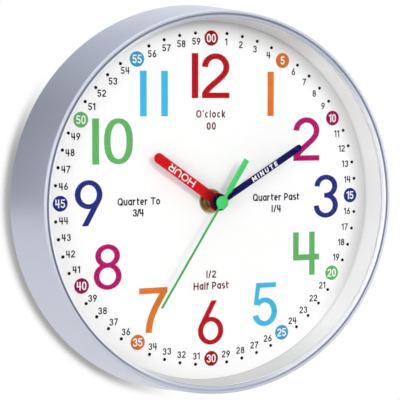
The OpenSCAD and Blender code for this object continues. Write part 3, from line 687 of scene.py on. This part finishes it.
def figure_strokes(sign, w, h, pen):
    """Strokes of a figure: their points, whether each is closed, and its share of the pen."""
    half = pen / 2
    r = (w - pen) / 2
    c = w / 2
    top = h - half

    def bowl(low, high, share, start, end):
        return arc(c, (low + high) / 2, share * r, (high - low) / 2, start, end)

    if sign == "0":
        return [(oval(c, h / 2, r, h / 2 - half), True)]
    if sign == "1":
        return [([(c, 0), (c, h)], False)]
    if sign == "2":
        neck = bowl(0.39 * h + half, top, 1, 180, -35)
        x, y = neck[-1]
        lean = (x - 0.2 * w, y - 0.18 * h)
        neck += curve_to((x, y), lean, (0.115 * w, 0.222 * h), (half, half))[1:]
        return [(neck, False), ([(0, half), (w, half)], False)]
    if sign == "3":
        waist = 0.522 * h
        upper = bowl(waist, top, 0.925, 180, -90) + [(0.43 * w, waist)]
        return [(upper, False), (bowl(half, waist, 1, 90, -180), False)]
    if sign == "4":
        bar = 0.416 * h
        stem = 0.724 * w
        return [([(half, h), (half, bar), (w, bar)], False), ([(stem, 0), (stem, h)], False)]
    if sign == "5":
        flag = ([(0.16 * w, top), (0.95 * w, top)], False)
        stem = ([(0.25 * w, h), (0.144 * w, 0.496 * h)], False, 0.76)
        return [flag, stem, (bowl(half, 0.66 * h - half, 1, 142, -164), False)]
    if sign == "6":
        crown = 0.632 * h - half
        leave_at = math.radians(150)
        rise = (crown - half) / 2
        x, y = c + r * math.cos(leave_at), half + rise + rise * math.sin(leave_at)
        run = (h + pen - y) * r * math.sin(leave_at) / (-rise * math.cos(leave_at))
        return [
            (bowl(half, crown, 1, 0, 345), True),
            ([(x, y), (x + run, h + pen)], False),
        ]
    if sign == "7":
        leg = curve_to(
            (w - 0.45 * pen, top), (0.68 * w, 0.66 * h), (0.31 * w, 0.36 * h), (0.333 * w, -half)
        )
        return [([(0, top), (w, top)], False), (leg, False)]
    if sign == "8":
        waist = 0.54 * h
        return [(bowl(waist, top, 0.86, 0, 345), True), (bowl(half, waist, 1, 0, 345), True)]
    if sign == "9":
        turned_six = figure_strokes("6", w, h, pen)
        return [([(w - x, h - y) for x, y in points], closed) for points, closed in turned_six]
    raise ValueError(sign)


def ribbon(points, pen, closed):
    """A flat ribbon of that width along the points, with mitred corners."""
    spots = [Vector((x, y, 0)) for x, y in points]
    last = len(spots) - 1
    left, right = [], []
    for i, spot in enumerate(spots):
        legs = []
        if closed or i > 0:
            legs.append((spot - spots[i - 1]).normalized())
        if closed or i < last:
            legs.append((spots[(i + 1) % len(spots)] - spot).normalized())
        outs = [Vector((-leg.y, leg.x, 0)) for leg in legs]
        mitre = outs[0]
        if len(outs) == 2:
            mitre = (outs[0] + outs[1]) / (1 + outs[0].dot(outs[1]))
        left.append(spot + mitre * pen / 2)
        right.append(spot - mitre * pen / 2)
    if closed:
        left.append(left[0])
        right.append(right[0])
    grid = bpy.ops.mesh.primitive_grid_add
    piece = shaped(right + left, grid, x_subdivisions=len(left) - 1, y_subdivisions=1)
    clean(piece)
    return piece


def character(strokes, pen, height, squash=1.0):
    """One printed character: its strokes made solid, joined, trimmed at top and bottom.

    A squash below one presses it down afterwards, so that level strokes come out thinner.
    """
    whole = None
    for points, closed, *share in strokes:
        part = ribbon(points, pen * (share[0] if share else 1), closed)
        thicken(part, PRINT_T)
        if whole is None:
            whole = part
        else:
            combine(whole, part)
    for level, side in ((height, 1), (0, -1)):
        edit(whole)
        bpy.ops.mesh.bisect(
            plane_co=(0, level, 0), plane_no=(0, side, 0), clear_outer=True, use_fill=True
        )
        leave()
    whole.scale = (1, squash, 1)
    settle(whole)
    clean(whole)
    return whole


def stamped(model, x, y, z=0.0):
    """A copy of a character with its own mesh, its lower left corner moved to (x, y)."""
    copy = model.copy()
    copy.data = model.data.copy()
    bpy.context.scene.collection.objects.link(copy)
    copy.matrix_world = Matrix.Translation((x, y, z))
    settle(copy)
    return copy


def row_of(signs, models, widths, gap, x, y, z, height):
    """Figures side by side, centred on (x, y)."""
    left = x - (sum(widths[s] for s in signs) + gap * (len(signs) - 1)) / 2
    copies = []
    for sign in signs:
        copies.append(stamped(models[sign], left, y - height / 2, z))
        left += widths[sign] + gap
    return copies


# The print as a whole sits a little high and to the right on the dial
PRINT_SHIFT = (0.45, 1.38, 0)


def onto_dial(name, copies, ink):
    piece = weld(copies)
    piece.location = PRINT_SHIFT
    settle(piece)
    onto_clock(piece, name, "clock_case", INKS[ink])


# Hour figures: their centres in the print, and the inks in turn from twelve

FIGURE_H = 34.0
# Width, stroke of the upright parts, and what share of it the level parts have
FIGURES = {
    "0": (23.1, 5.2, 0.74),
    "1": (5.5, 5.5, 1.0),
    "2": (23.2, 5.1, 0.83),
    "3": (22.0, 4.7, 0.8),
    "4": (23.2, 4.9, 0.93),
    "5": (21.9, 4.9, 0.8),
    "6": (21.6, 4.4, 0.8),
    "7": (23.2, 5.2, 0.86),
    "8": (22.4, 4.6, 0.77),
    "9": (21.9, 4.5, 0.8),
}
INK_TURN = ("red", "orange", "magenta", "navy", "green", "cyan")
FIGURE_SPOTS = {
    12: (-0.5, 93.9),
    1: (50.9, 80.2),
    2: (82.7, 45.0),
    3: (100.4, -0.3),
    4: (82.8, -45.0),
    5: (46.2, -83.2),
    6: (-0.4, -94.7),
    7: (-48.3, -82.4),
    8: (-85.2, -48.1),
    9: (-100.1, -0.2),
    10: (-80.9, 45.1),
    11: (-47.5, 80.4),
}
FIGURE_GAP = {12: 3.1, 10: 3.9, 11: 11.8}


def hour_figures():
    models = {}
    for sign, (width, pen, squash) in FIGURES.items():
        tall = FIGURE_H / squash
        models[sign] = character(figure_strokes(sign, width, tall, pen), pen, tall, squash)
    widths = {sign: plan[0] for sign, plan in FIGURES.items()}
    by_ink = {}
    for hour, (x, y) in FIGURE_SPOTS.items():
        row = row_of(str(hour), models, widths, FIGURE_GAP.get(hour, 0), x, y, 0, FIGURE_H)
        by_ink.setdefault(INK_TURN[hour % len(INK_TURN)], []).extend(row)
    for ink, copies in by_ink.items():
        onto_dial("hour_figures_" + ink, copies, ink)
    discard(models.values())


hour_figures()


# Minute ring: dots, small figures, and a coloured disc at every fifth minute

DOT_RING = 126.7
DOT_R = 1.28
SMALL_RING = 120.4
SMALL_H = 5.3
SMALL_W = 3.1
SMALL_PEN = 0.9
SMALL_GAP = 0.75
DISC_RING = 122.4
DISC_R = 5.8
BOLD_H = 6.3
BOLD_W = 3.5
BOLD_PEN = 0.95
BOLD_GAP = 0.55
# A one's width against the other figures, and the height at which its flag ends
ONE_SHARE = 0.6
FLAG_SHARE = 0.76


def flagged_one(w, h, pen):
    """A narrow one with a short flag, as the small figures have."""
    stem = w - pen / 2
    return [([(stem, 0), (stem, h)], False), ([(stem, h - pen / 2), (0, FLAG_SHARE * h)], False)]


def small_models(signs, w, h, pen):
    models, widths = {}, {}
    for sign in signs:
        widths[sign] = w
        strokes = figure_strokes(sign, w, h, pen)
        if sign == "1":
            widths[sign] = ONE_SHARE * w
            strokes = flagged_one(widths[sign], h, pen)
        models[sign] = character(strokes, pen, h)
    return models, widths


def spot_on(ring, minute):
    angle = math.radians(6 * minute)
    return ring * math.sin(angle), ring * math.cos(angle)


def round_mark(radius_mm, sides):
    step = 360 / sides
    return plate(circle_arc(0, 0, radius_mm, 0, 360 - step, step), 0, PRINT_T)


def minute_ring():
    fine, fine_w = small_models("0123456789", SMALL_W, SMALL_H, SMALL_PEN)
    bold, bold_w = small_models("012345", BOLD_W, BOLD_H, BOLD_PEN)
    dot = round_mark(DOT_R, 16)
    disc = round_mark(DISC_R, 48)
    dots, figures, bolds, discs = [], [], [], {}
    for minute in range(60):
        if minute % 5:
            dots.append(stamped(dot, *spot_on(DOT_RING, minute)))
            x, y = spot_on(SMALL_RING, minute)
            figures += row_of(str(minute), fine, fine_w, SMALL_GAP, x, y, 0, SMALL_H)
        else:
            x, y = spot_on(DISC_RING, minute)
            ink = INK_TURN[minute // 5 % len(INK_TURN)]
            discs.setdefault(ink, []).append(stamped(disc, x, y))
            signs = "00" if minute == 0 else str(minute)
            bolds += row_of(signs, bold, bold_w, BOLD_GAP, x, y, PRINT_T, BOLD_H)
    onto_dial("minute_dots", dots, "black")
    onto_dial("minute_figures", figures, "black")
    onto_dial("five_minute_figures", bolds, "white")
    for ink, copies in discs.items():
        onto_dial("five_minute_discs_" + ink, copies, "disc_" + ink)
    discard([*fine.values(), *bold.values(), dot, disc])


minute_ring()


# Letters: capitals of height h, small ones of height low

LETTER_SHARES = {
    "O": 0.7, "Q": 0.7, "P": 0.56, "H": 0.68, "T": 0.64, "U": 0.66, "R": 0.6, "M": 0.82,
    "N": 0.68, "E": 0.52, "c": 0.48, "o": 0.53, "k": 0.5, "u": 0.51, "a": 0.54, "r": 0.46,
    "t": 0.36, "e": 0.52, "s": 0.46, "f": 0.38, "/": 0.34,
}
LOW_SHARE = 0.76
FIGURE_SHARE = 0.54
SPACE_SHARE = 0.2


def letter_strokes(sign, w, h, pen):
    low = LOW_SHARE * h
    half = pen / 2
    right = w - half
    c = w / 2
    r = c - half
    mid = low / 2
    turn = 0.25 * h
    waist = h - half - 2 * turn
    ring = (arc(c, mid, r, mid - half, 0, 345), True)
    tall = ([(half, 0), (half, h)], False)
    far = ([(right, 0), (right, h)], False)
    head = [(half, h - half)] + arc(right - turn, h - half - turn, turn, turn, 90, -90) + [(half, waist)]
    cup = arc(c, half + r, r, r, 180, 360)
    hook = 0.3 * w
    coil = (low - pen) / 4
    if sign in "0123456789":
        return figure_strokes(sign, w, h, pen)
    if sign == "'":
        return [([(half, 0.74 * h), (half, h)], False)]
    if sign in "Il":
        return [tall]
    if sign == "/":
        return [([(0, -pen), (w, h + pen)], False)]
    if sign == "O":
        return figure_strokes("0", w, h, pen)
    if sign == "Q":
        return figure_strokes("0", w, h, pen) + [([(0.58 * w, 0.3 * h), (w, 0)], False)]
    if sign == "P":
        return [tall, (head, False)]
    if sign == "R":
        return [tall, (head, False), ([(0.45 * w, waist), (right + 0.1 * half, -half)], False)]
    if sign == "H":
        return [tall, far, ([(half, h / 2), (right, h / 2)], False)]
    if sign == "T":
        return [([(0, h - half), (w, h - half)], False), ([(c, 0), (c, h - half)], False)]
    if sign == "U":
        return [([(half, h)] + cup + [(right, h)], False)]
    if sign == "M":
        return [([(half, 0), (half, h), (c, 0.3 * h), (right, h), (right, 0)], False)]
    if sign == "N":
        return [([(half, 0), (half, h), (right, 0), (right, h)], False)]
    if sign == "E":
        return [tall] + [([(half, y), (w, y)], False) for y in (half, h / 2, h - half)]
    if sign == "c":
        return [(arc(c, mid, r, mid - half, 48, 312), False)]
    if sign == "o":
        return [ring]
    if sign == "k":
        arm = ([(half, 0.34 * low), (right, low)], False)
        return [tall, arm, ([(0.38 * w, 0.52 * low), (right, 0)], False)]
    if sign == "u":
        return [([(half, low)] + cup + [(right, low)], False), ([(right, 0), (right, low)], False)]
    if sign == "a":
        return [ring, ([(right, 0), (right, low)], False)]
    if sign == "r":
        bend = arc(half + 2 * r, low - half - 1.4 * r, 2 * r, 1.4 * r, 180, 95)
        return [([(half, 0), (half, low)], False), (bend, False)]
    if sign == "t":
        foot = arc(hook + 0.45 * w, half + 0.45 * w, 0.45 * w, 0.45 * w, 180, 270)
        return [([(hook, 0.95 * h)] + foot, False), ([(0, low - half), (w, low - half)], False)]
    if sign == "f":
        top = arc(hook + 0.55 * w, h - half - 0.55 * w, 0.55 * w, 0.55 * w, 180, 90)
        return [([(hook, 0)] + top, False), ([(0, low - half), (0.9 * w, low - half)], False)]
    if sign == "e":
        return [(arc(c, mid, r, mid - half, 0, 312), False), ([(half, mid), (right, mid)], False)]
    if sign == "s":
        upper = arc(c, half + 3 * coil, r, coil, 35, 270)
        return [(upper + arc(c, half + coil, r, coil, 90, -145)[1:], False)]
    raise ValueError(sign)


class Lettering:
    """Letters of one size and weight, each modelled once."""

    def __init__(self, height, pen, stretch):
        self.height, self.pen, self.stretch = height, pen, stretch
        self.models = {}

    def width(self, sign):
        if sign == " ":
            return SPACE_SHARE * self.height
        if sign in "Il'1":
            return self.pen
        return LETTER_SHARES.get(sign, FIGURE_SHARE) * self.height * self.stretch

    def model(self, sign):
        if sign not in self.models:
            strokes = letter_strokes(sign, self.width(sign), self.height, self.pen)
            self.models[sign] = character(strokes, self.pen, self.height)
        return self.models[sign]

    def word(self, text, x, y, width):
        """Copies of the letters, spaced out to that width and centred on (x, y)."""
        gap = (width - sum(self.width(sign) for sign in text)) / (len(text) - 1)
        left = x - width / 2
        copies = []
        for sign in text:
            if sign != " ":
                copies.append(stamped(self.model(sign), left, y - self.height / 2))
            left += self.width(sign) + gap
        return copies

    def clear(self):
        discard(self.models.values())


WORD_H = 5.7
WORD_PEN = 1.04
WORD_STRETCH = 1.1
# Word, centre and width in the print
RED_WORDS = (
    ("O'clock", -0.3, 65.0, 24.7),
    ("00", 0.0, 55.8, 7.7),
    ("1/2", 0.0, -57.4, 8.2),
    ("Half Past", 0.0, -66.2, 29.8),
)
NAVY_WORDS = (
    ("Quarter Past", 56.1, 0.3, 40.8),
    ("1/4", 56.1, -8.8, 8.2),
    ("Quarter To", -59.9, 0.0, 34.6),
    ("3/4", -60.5, -8.5, 9.0),
)


def time_words():
    letters = Lettering(WORD_H, WORD_PEN, WORD_STRETCH)
    for ink, words in (("word_red", RED_WORDS), ("word_navy", NAVY_WORDS)):
        copies = [copy for word in words for copy in letters.word(*word)]
        onto_dial("time_words_" + ink.removeprefix("word_"), copies, ink)
    letters.clear()


time_words()


# Hands, modelled pointing to twelve and then turned to their rest angle

HAND_T = 0.6
HAND_EDGE = 0.14
COLLET_LEN = 2.2
COLLET_WALL = 1.0
HOUR_BORE = 2.53
MINUTE_BORE = 1.58
SECOND_BORE = 0.53
# How far a cutting piece stands out of what it cuts, below and above
CUT_BELOW = 1
CUT_ABOVE = 0.1
# Words on the hands: where along the hand their middle is, and the size of their letters
HOUR_WORD = {"middle": 36.3, "width": 25, "height": 5.4, "pen": 0.88, "stretch": 1.55}
MINUTE_WORD = {"middle": 44.0, "width": 24.4, "height": 3.7, "pen": 0.9, "stretch": 1.3}


def turn_to(piece, angle):
    piece.rotation_euler = (0, 0, -math.radians(angle))
    settle(piece)


def bar_hand_outline(length, width, disc):
    """A straight bar with a round tip on a disc about the axis."""
    shoulder = math.degrees(math.asin(width / 2 / disc))
    tip = circle_arc(0, length - width / 2, width / 2, 0, 180, 10)
    return tip + circle_arc(0, 0, disc, 90 + shoulder, 450 - shoulder, 6)


def pressed(outline, z):
    """Sheet metal with that outline, its edges rolled by the press."""
    piece = plate(outline, z, HAND_T)
    soften(piece, HAND_EDGE)
    return piece


def add_collet(piece, bore, z, bore_top):
    combine(piece, rod(bore + COLLET_WALL, z - COLLET_LEN, z + HAND_T / 2))
    combine(piece, rod(bore, z - COLLET_LEN - CUT_BELOW, bore_top), "DIFFERENCE")


def mark_hand(name, body, text, angle, z, middle, width, height, pen, stretch):
    """White lettering along a hand, read from the hub to the tip."""
    letters = Lettering(height, pen, stretch)
    word = weld(letters.word(text, middle, 0, width))
    letters.clear()
    upright = Matrix.Rotation(math.radians(90), 4, "Z")
    word.matrix_world = Matrix.Translation((0, 0, z)) @ upright
    settle(word)
    turn_to(word, angle)
    onto_clock(word, name, body, INKS["white"])


def hour_hand():
    length, width, disc = 63, 7.8, 7.0
    z = depth("hour_hand")[0] + COLLET_LEN
    piece = pressed(bar_hand_outline(length, width, disc), z)
    add_collet(piece, HOUR_BORE, z, z + 2 * HAND_T)
    turn_to(piece, HOUR_ANGLE)
    onto_clock(piece, "red_hour_hand", "hours", HAND_RED)
    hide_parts("hour_hand")
    mark_hand("hour_word", "hours", "HOUR", HOUR_ANGLE, z + HAND_T, **HOUR_WORD)


def minute_hand():
    length, width, disc, step = 81, 5.2, 6.4, 4.4
    z = depth("minute_hand")[0] + COLLET_LEN
    piece = pressed(bar_hand_outline(length, width, disc), z)
    cap = rod(step, z + HAND_T / 2, z + 2 * HAND_T)
    soften(cap, HAND_EDGE)
    combine(piece, cap)
    add_collet(piece, MINUTE_BORE, z, z + 3 * HAND_T)
    turn_to(piece, MINUTE_ANGLE)
    onto_clock(piece, "navy_minute_hand", "minutes", HAND_NAVY)
    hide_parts("minute_hand")
    mark_hand("minute_word", "minutes", "MINUTE", MINUTE_ANGLE, z + HAND_T, **MINUTE_WORD)


def second_hand():
    point, point_w = 92, 1.7
    tail, tail_w = 38, 4.6
    neck, neck_w = 9, 2.4
    shoulder = neck + 1
    hub, hub_step, hub_round, hub_h = 5.0, 0.3, 0.3, 1.1
    z = depth("second_hand")[0] + COLLET_LEN
    out = math.degrees(math.asin(point_w / 2 / hub))
    back = math.degrees(math.asin(neck_w / 2 / hub))
    outline = [(point_w / 2, point), (-point_w / 2, point)]
    outline += circle_arc(0, 0, hub, 90 + out, 270 - back, 6)
    outline += [(-neck_w / 2, -neck), (-tail_w / 2, -shoulder), (-tail_w / 2, -tail)]
    outline += [(tail_w / 2, -tail), (tail_w / 2, -shoulder), (neck_w / 2, -neck)]
    outline += circle_arc(0, 0, hub, 270 + back, 450 - out, 6)
    piece = pressed(outline, z)
    cap = rod(hub - hub_step, z + HAND_T / 2, z + hub_h)
    soften(cap, hub_round, segments=3)
    combine(piece, cap)
    add_collet(piece, SECOND_BORE, z, z + hub_h / 2)
    turn_to(piece, SECOND_ANGLE)
    onto_clock(piece, "green_second_hand", "seconds", HAND_GREEN)
    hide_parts("second_hand")


hour_hand()
minute_hand()
second_hand()


# Brass washer, nut and threaded bush under the hands

NUT_AF = 13
NUT_TURN = -30
BUSH_R = 4.0
BUSH_BORE = 2.55
BUSH_FLANGE_R = 6.0
BUSH_FLANGE_T = 0.7
WASHER_BORE = 4.25
WASHER_FOOT = 0.15
WASHER_EDGE = 0.25
WASHER_STEP = 0.25
WASHER_SLOPE = 0.2
NUT_BORE = 4.03
NUT_SINK = 0.4
NUT_SINK_W = 0.5
NUT_EDGE = 0.07
THREAD_PITCH = 0.6
THREAD_DEPTH = 0.3


def brass_washer():
    z0, z1 = depth("brass_washer")
    rim = radius("brass_washer")
    land = rim - WASHER_LAND
    sunk = z1 - WASHER_STEP
    outline = [(WASHER_BORE, z0), (rim - WASHER_FOOT, z0), (rim, z0 + WASHER_FOOT)]
    outline += [(rim, z1 - WASHER_EDGE), (rim - WASHER_EDGE, z1), (land, z1)]
    outline += [(land - WASHER_SLOPE, sunk), (WASHER_BORE, sunk)]
    piece = turned(outline, steps=96)
    onto_clock(piece, "stepped_washer", "clock_case", BRASS)
    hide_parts("brass_washer")


def brass_nut():
    z0, z1 = depth("brass_nut")
    corner = NUT_AF / math.sqrt(3)
    piece = rod(corner, z0, z1, sides=6)
    turn_to(piece, NUT_TURN)
    bevel = z1 - z0
    cone = turned([(0, z0), (corner + bevel, z0), (NUT_AF / 2, z1), (0, z1)], steps=96)
    combine(piece, cone, "INTERSECT")
    low, top = z0 - CUT_BELOW, z1 + CUT_ABOVE
    bore = [(0, low), (NUT_BORE, low), (NUT_BORE, z1 - NUT_SINK)]
    bore += [(NUT_BORE + NUT_SINK_W, top), (0, top)]
    combine(piece, turned(bore, steps=64), "DIFFERENCE")
    soften(piece, NUT_EDGE, angle=40)
    onto_clock(piece, "hex_nut", "clock_case", BRASS)
    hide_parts("brass_nut")


def threaded_bush():
    z0, z1 = depth("threaded_bush")
    shank = z0 + BUSH_FLANGE_T
    outline = [(BUSH_BORE, z0), (BUSH_FLANGE_R, z0), (BUSH_FLANGE_R, shank)]
    turns = int((z1 - shank) / THREAD_PITCH)
    for i in range(turns):
        foot = z1 - (turns - i) * THREAD_PITCH
        outline += [(BUSH_R - THREAD_DEPTH, foot), (BUSH_R, foot + THREAD_PITCH / 2)]
    outline += [(BUSH_R - THREAD_DEPTH, z1), (BUSH_BORE, z1)]
    piece = turned(outline, steps=72)
    onto_clock(piece, "bush_with_thread", "clock_case", BRASS, 25)
    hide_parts("threaded_bush")


brass_washer()
brass_nut()
threaded_bush()


# Camera at the photograph's place, floor and light

CAMERA_SPOT = (-0.5329, -1.1405, -0.0208)
CAMERA_AIM = (0.42631, 0.90234, -0.06359)
LENS = 145.5
SENSOR = 36
FLOOR_Z = -0.6
FLOOR_HALF = 30
FLOOR_COLOUR = (0.86, 0.86, 0.86, 1)
FLOOR_GLOW = 0.55
WALL_HALF = 3
WALL_GAP = 0.0003
# Contact shade on the wall: its reach in metres, rays, steepness and depth
WALL_SHADE = 0.0095
WALL_SAMPLES = 12
WALL_POWER = 2.0
WALL_DARK = 0.63
# Open share of the wall's surroundings at which the shade begins and at which it is full
SHADE_FROM = 0.95
SHADE_FULL = 0.42
# Direction in which the shade lies, and the shares of the case's radius where it begins
# and is full
SHADE_SIDE = (-0.92, 0, -0.39)
SIDE_FROM = 0.45
SIDE_FULL = 0.85
PURE_WHITE = (1, 1, 1, 1)
COOL = (0.94, 0.98, 1.1, 1)
# Corners of the two cards with slanting edges, two below and then two above
GREY_CARD = ((-1.9, 1.5, -0.3), (-0.45, 1.5, -0.26), (-1.47, 1.5, 1.33), (-0.32, 1.5, 0.28))
FADE_CARD = (*GREY_CARD[2:], (-0.5, 1.5, 2.3), (0.7, 1.5, 1.1))
# Cards of one brightness: that brightness and two opposite corners
EVEN_CARDS = {
    "white_card": (1.5, (1.5, -2.6, -0.6), (1.5, 0.4, 0.5)),
    "lower_card": (0.7, (-1.5, -2.5, -0.59), (2, -0.2, -0.59)),
    "upper_card": (0.75, (-0.3, -2.5, 0.9), (2, -0.2, 0.9)),
    "left_card": (1.45, (-1.5, -0.3, -0.6), (-1.5, -1.8, 0.5)),
    "high_card": (1.7, (-0.8, -0.5, 0.89), (1.1, 0.6, 0.89)),
    "front_card": (1.8, (-0.45, -1.6, -0.5), (0.25, -1.6, 0.15)),
    "right_card": (1.5, (0.9, -0.7, -0.585), (2.2, 0.25, -0.585)),
}
# Light from the world straight from the side, and how it grows along each axis
SKY_LEVEL = 0.44
SKY_TILT = (-0.12, -0.26, -0.04)


def camera():
    data = bpy.data.cameras.new("camera")
    data.lens = LENS
    data.sensor_width = SENSOR
    eye = bpy.data.objects.new("camera", data)
    bpy.context.scene.collection.objects.link(eye)
    eye.location = CAMERA_SPOT
    eye.rotation_euler = Vector(CAMERA_AIM).to_track_quat("-Z", "Y").to_euler()
    bpy.context.scene.camera = eye


def seen_white(tree):
    """1 for rays that show the background to the eye, in a mirror or through glass."""
    rays = tree.add("ShaderNodeLightPath").outputs
    seen = tree.math("MAXIMUM", rays["Is Camera Ray"], rays["Is Glossy Ray"])
    return tree.math("MAXIMUM", seen, rays["Is Transmission Ray"])


def flat_corners(start, end):
    """Corners of a rectangle square to the axes, from two opposite ones."""
    xs, ys, zs = ((a,) if a == b else (a, b) for a, b in zip(start, end))
    return [(x, y, z) for z in zs for y in ys for x in xs]


def stage_plane(name, corners, material, unseen_by=()):
    """A flat stage piece with those four corners, left out for some kinds of rays."""
    piece = shaped(corners, bpy.ops.mesh.primitive_plane_add)
    piece.name = name
    piece.data.materials.append(material)
    for rays in unseen_by:
        setattr(piece, "visible_" + rays, False)


def floor():
    material = bpy.data.materials.new("pale_floor")
    tree = Tree(material)
    diffuse = tree.add("ShaderNodeBsdfDiffuse", {"Color": FLOOR_COLOUR})
    share = tree.math("MULTIPLY", seen_white(tree), FLOOR_GLOW)
    glow = tree.add("ShaderNodeEmission", {"Strength": share})
    tree.surface(tree.add("ShaderNodeAddShader", {0: diffuse.outputs[0], 1: glow.outputs[0]}))
    corner = (FLOOR_HALF, FLOOR_HALF, FLOOR_Z)
    stage_plane("floor", flat_corners((-FLOOR_HALF, -FLOOR_HALF, FLOOR_Z), corner), material)


def wall():
    """White glowing wall behind the clock, seen from the front only, with a soft contact shade painted
    into its glow from how close the clock is, on its lower left only.
    """
    material = bpy.data.materials.new("white_wall")
    tree = Tree(material)
    near = tree.add("ShaderNodeAmbientOcclusion", {"Distance": WALL_SHADE}, samples=WALL_SAMPLES)
    here = tree.add("ShaderNodeNewGeometry").outputs
    open_share = tree.math("POWER", near.outputs["AO"], WALL_POWER)
    shaded = tree.ramp(open_share, SHADE_FROM, SHADE_FULL, 0, WALL_DARK)
    spot = tree.vector("SUBTRACT", "Vector", here["Position"], (0, 0, CENTRE_Z))
    toward = tree.vector("DOT_PRODUCT", "Value", spot, SHADE_SIDE)
    share = tree.ramp(toward, SIDE_FROM * CASE_R * MM, SIDE_FULL * CASE_R * MM, 0, 1)
    light = tree.math("SUBTRACT", 1, tree.math("MULTIPLY", shaded, share))
    glow = tree.add("ShaderNodeEmission", {"Strength": light})
    clear = tree.add("ShaderNodeBsdfTransparent")
    tree.surface(tree.mix(here["Backfacing"], glow, clear))
    y = cad_high.y + WALL_GAP
    foot, head = CENTRE_Z - WALL_HALF, CENTRE_Z + WALL_HALF
    corners = flat_corners((-WALL_HALF, y, foot), (WALL_HALF, y, head))
    stage_plane("wall", corners, material, ("diffuse", "glossy", "transmission", "shadow"))


def card(name, corners, foot, head, tint=PURE_WHITE):
    """A card that only shows in shiny surfaces, with its brightness at foot and head."""
    material = bpy.data.materials.new(name)
    tree = Tree(material)
    place = tree.add("ShaderNodeTexCoord").outputs["UV"]
    height = tree.add("ShaderNodeSeparateXYZ", {"Vector": place}).outputs["Y"]
    level = tree.ramp(height, 0, 1, foot, head, "LINEAR")
    tree.surface(tree.add("ShaderNodeEmission", {"Color": tint, "Strength": level}))
    stage_plane(name, corners, material, ("camera", "diffuse", "transmission", "shadow"))


def sky():
    """Light from all round, stronger from the front, and plain white where it is seen."""
    world = bpy.data.worlds.new("studio")
    bpy.context.scene.world = world
    tree = Tree(world)
    tree.nodes.clear()
    heading = tree.add("ShaderNodeTexCoord").outputs["Generated"]
    tilt = tree.vector("DOT_PRODUCT", "Value", heading, SKY_TILT)
    level = tree.math("ADD", tilt, SKY_LEVEL)
    light = tree.add("ShaderNodeBackground", {"Color": PURE_WHITE, "Strength": level})
    white = tree.add("ShaderNodeBackground", {"Color": PURE_WHITE})
    both = tree.mix(seen_white(tree), light, white)
    tree.add("ShaderNodeOutputWorld", {"Surface": both.outputs[0]})


def lamp(name, offset, size, energy):
    """A square lamp at that offset from the dial's centre, aimed at it."""
    light = bpy.data.lights.new(name, "AREA")
    light.size = size
    light.energy = energy
    holder = bpy.data.objects.new(name, light)
    bpy.context.scene.collection.objects.link(holder)
    target = Vector((0, DIAL_FRONT, CENTRE_Z))
    holder.location = target + Vector(offset)
    holder.rotation_euler = (target - holder.location).to_track_quat("-Z", "Y").to_euler()
    holder.visible_glossy = False


camera()
floor()
wall()
card("grey_card", GREY_CARD, foot=0.42, head=0.24, tint=COOL)
card("fade_card", FADE_CARD, foot=0.26, head=0.95, tint=COOL)
for name, (level, start, end) in EVEN_CARDS.items():
    card(name, flat_corners(start, end), level, level)
sky()
lamp("key", (-0.18, -1.5, 0.36), size=0.4, energy=8.8)
lamp("fill", (-1.3, -1.15, 0.1), size=0.8, energy=7)
bpy.context.scene.view_settings.view_transform = "Standard"
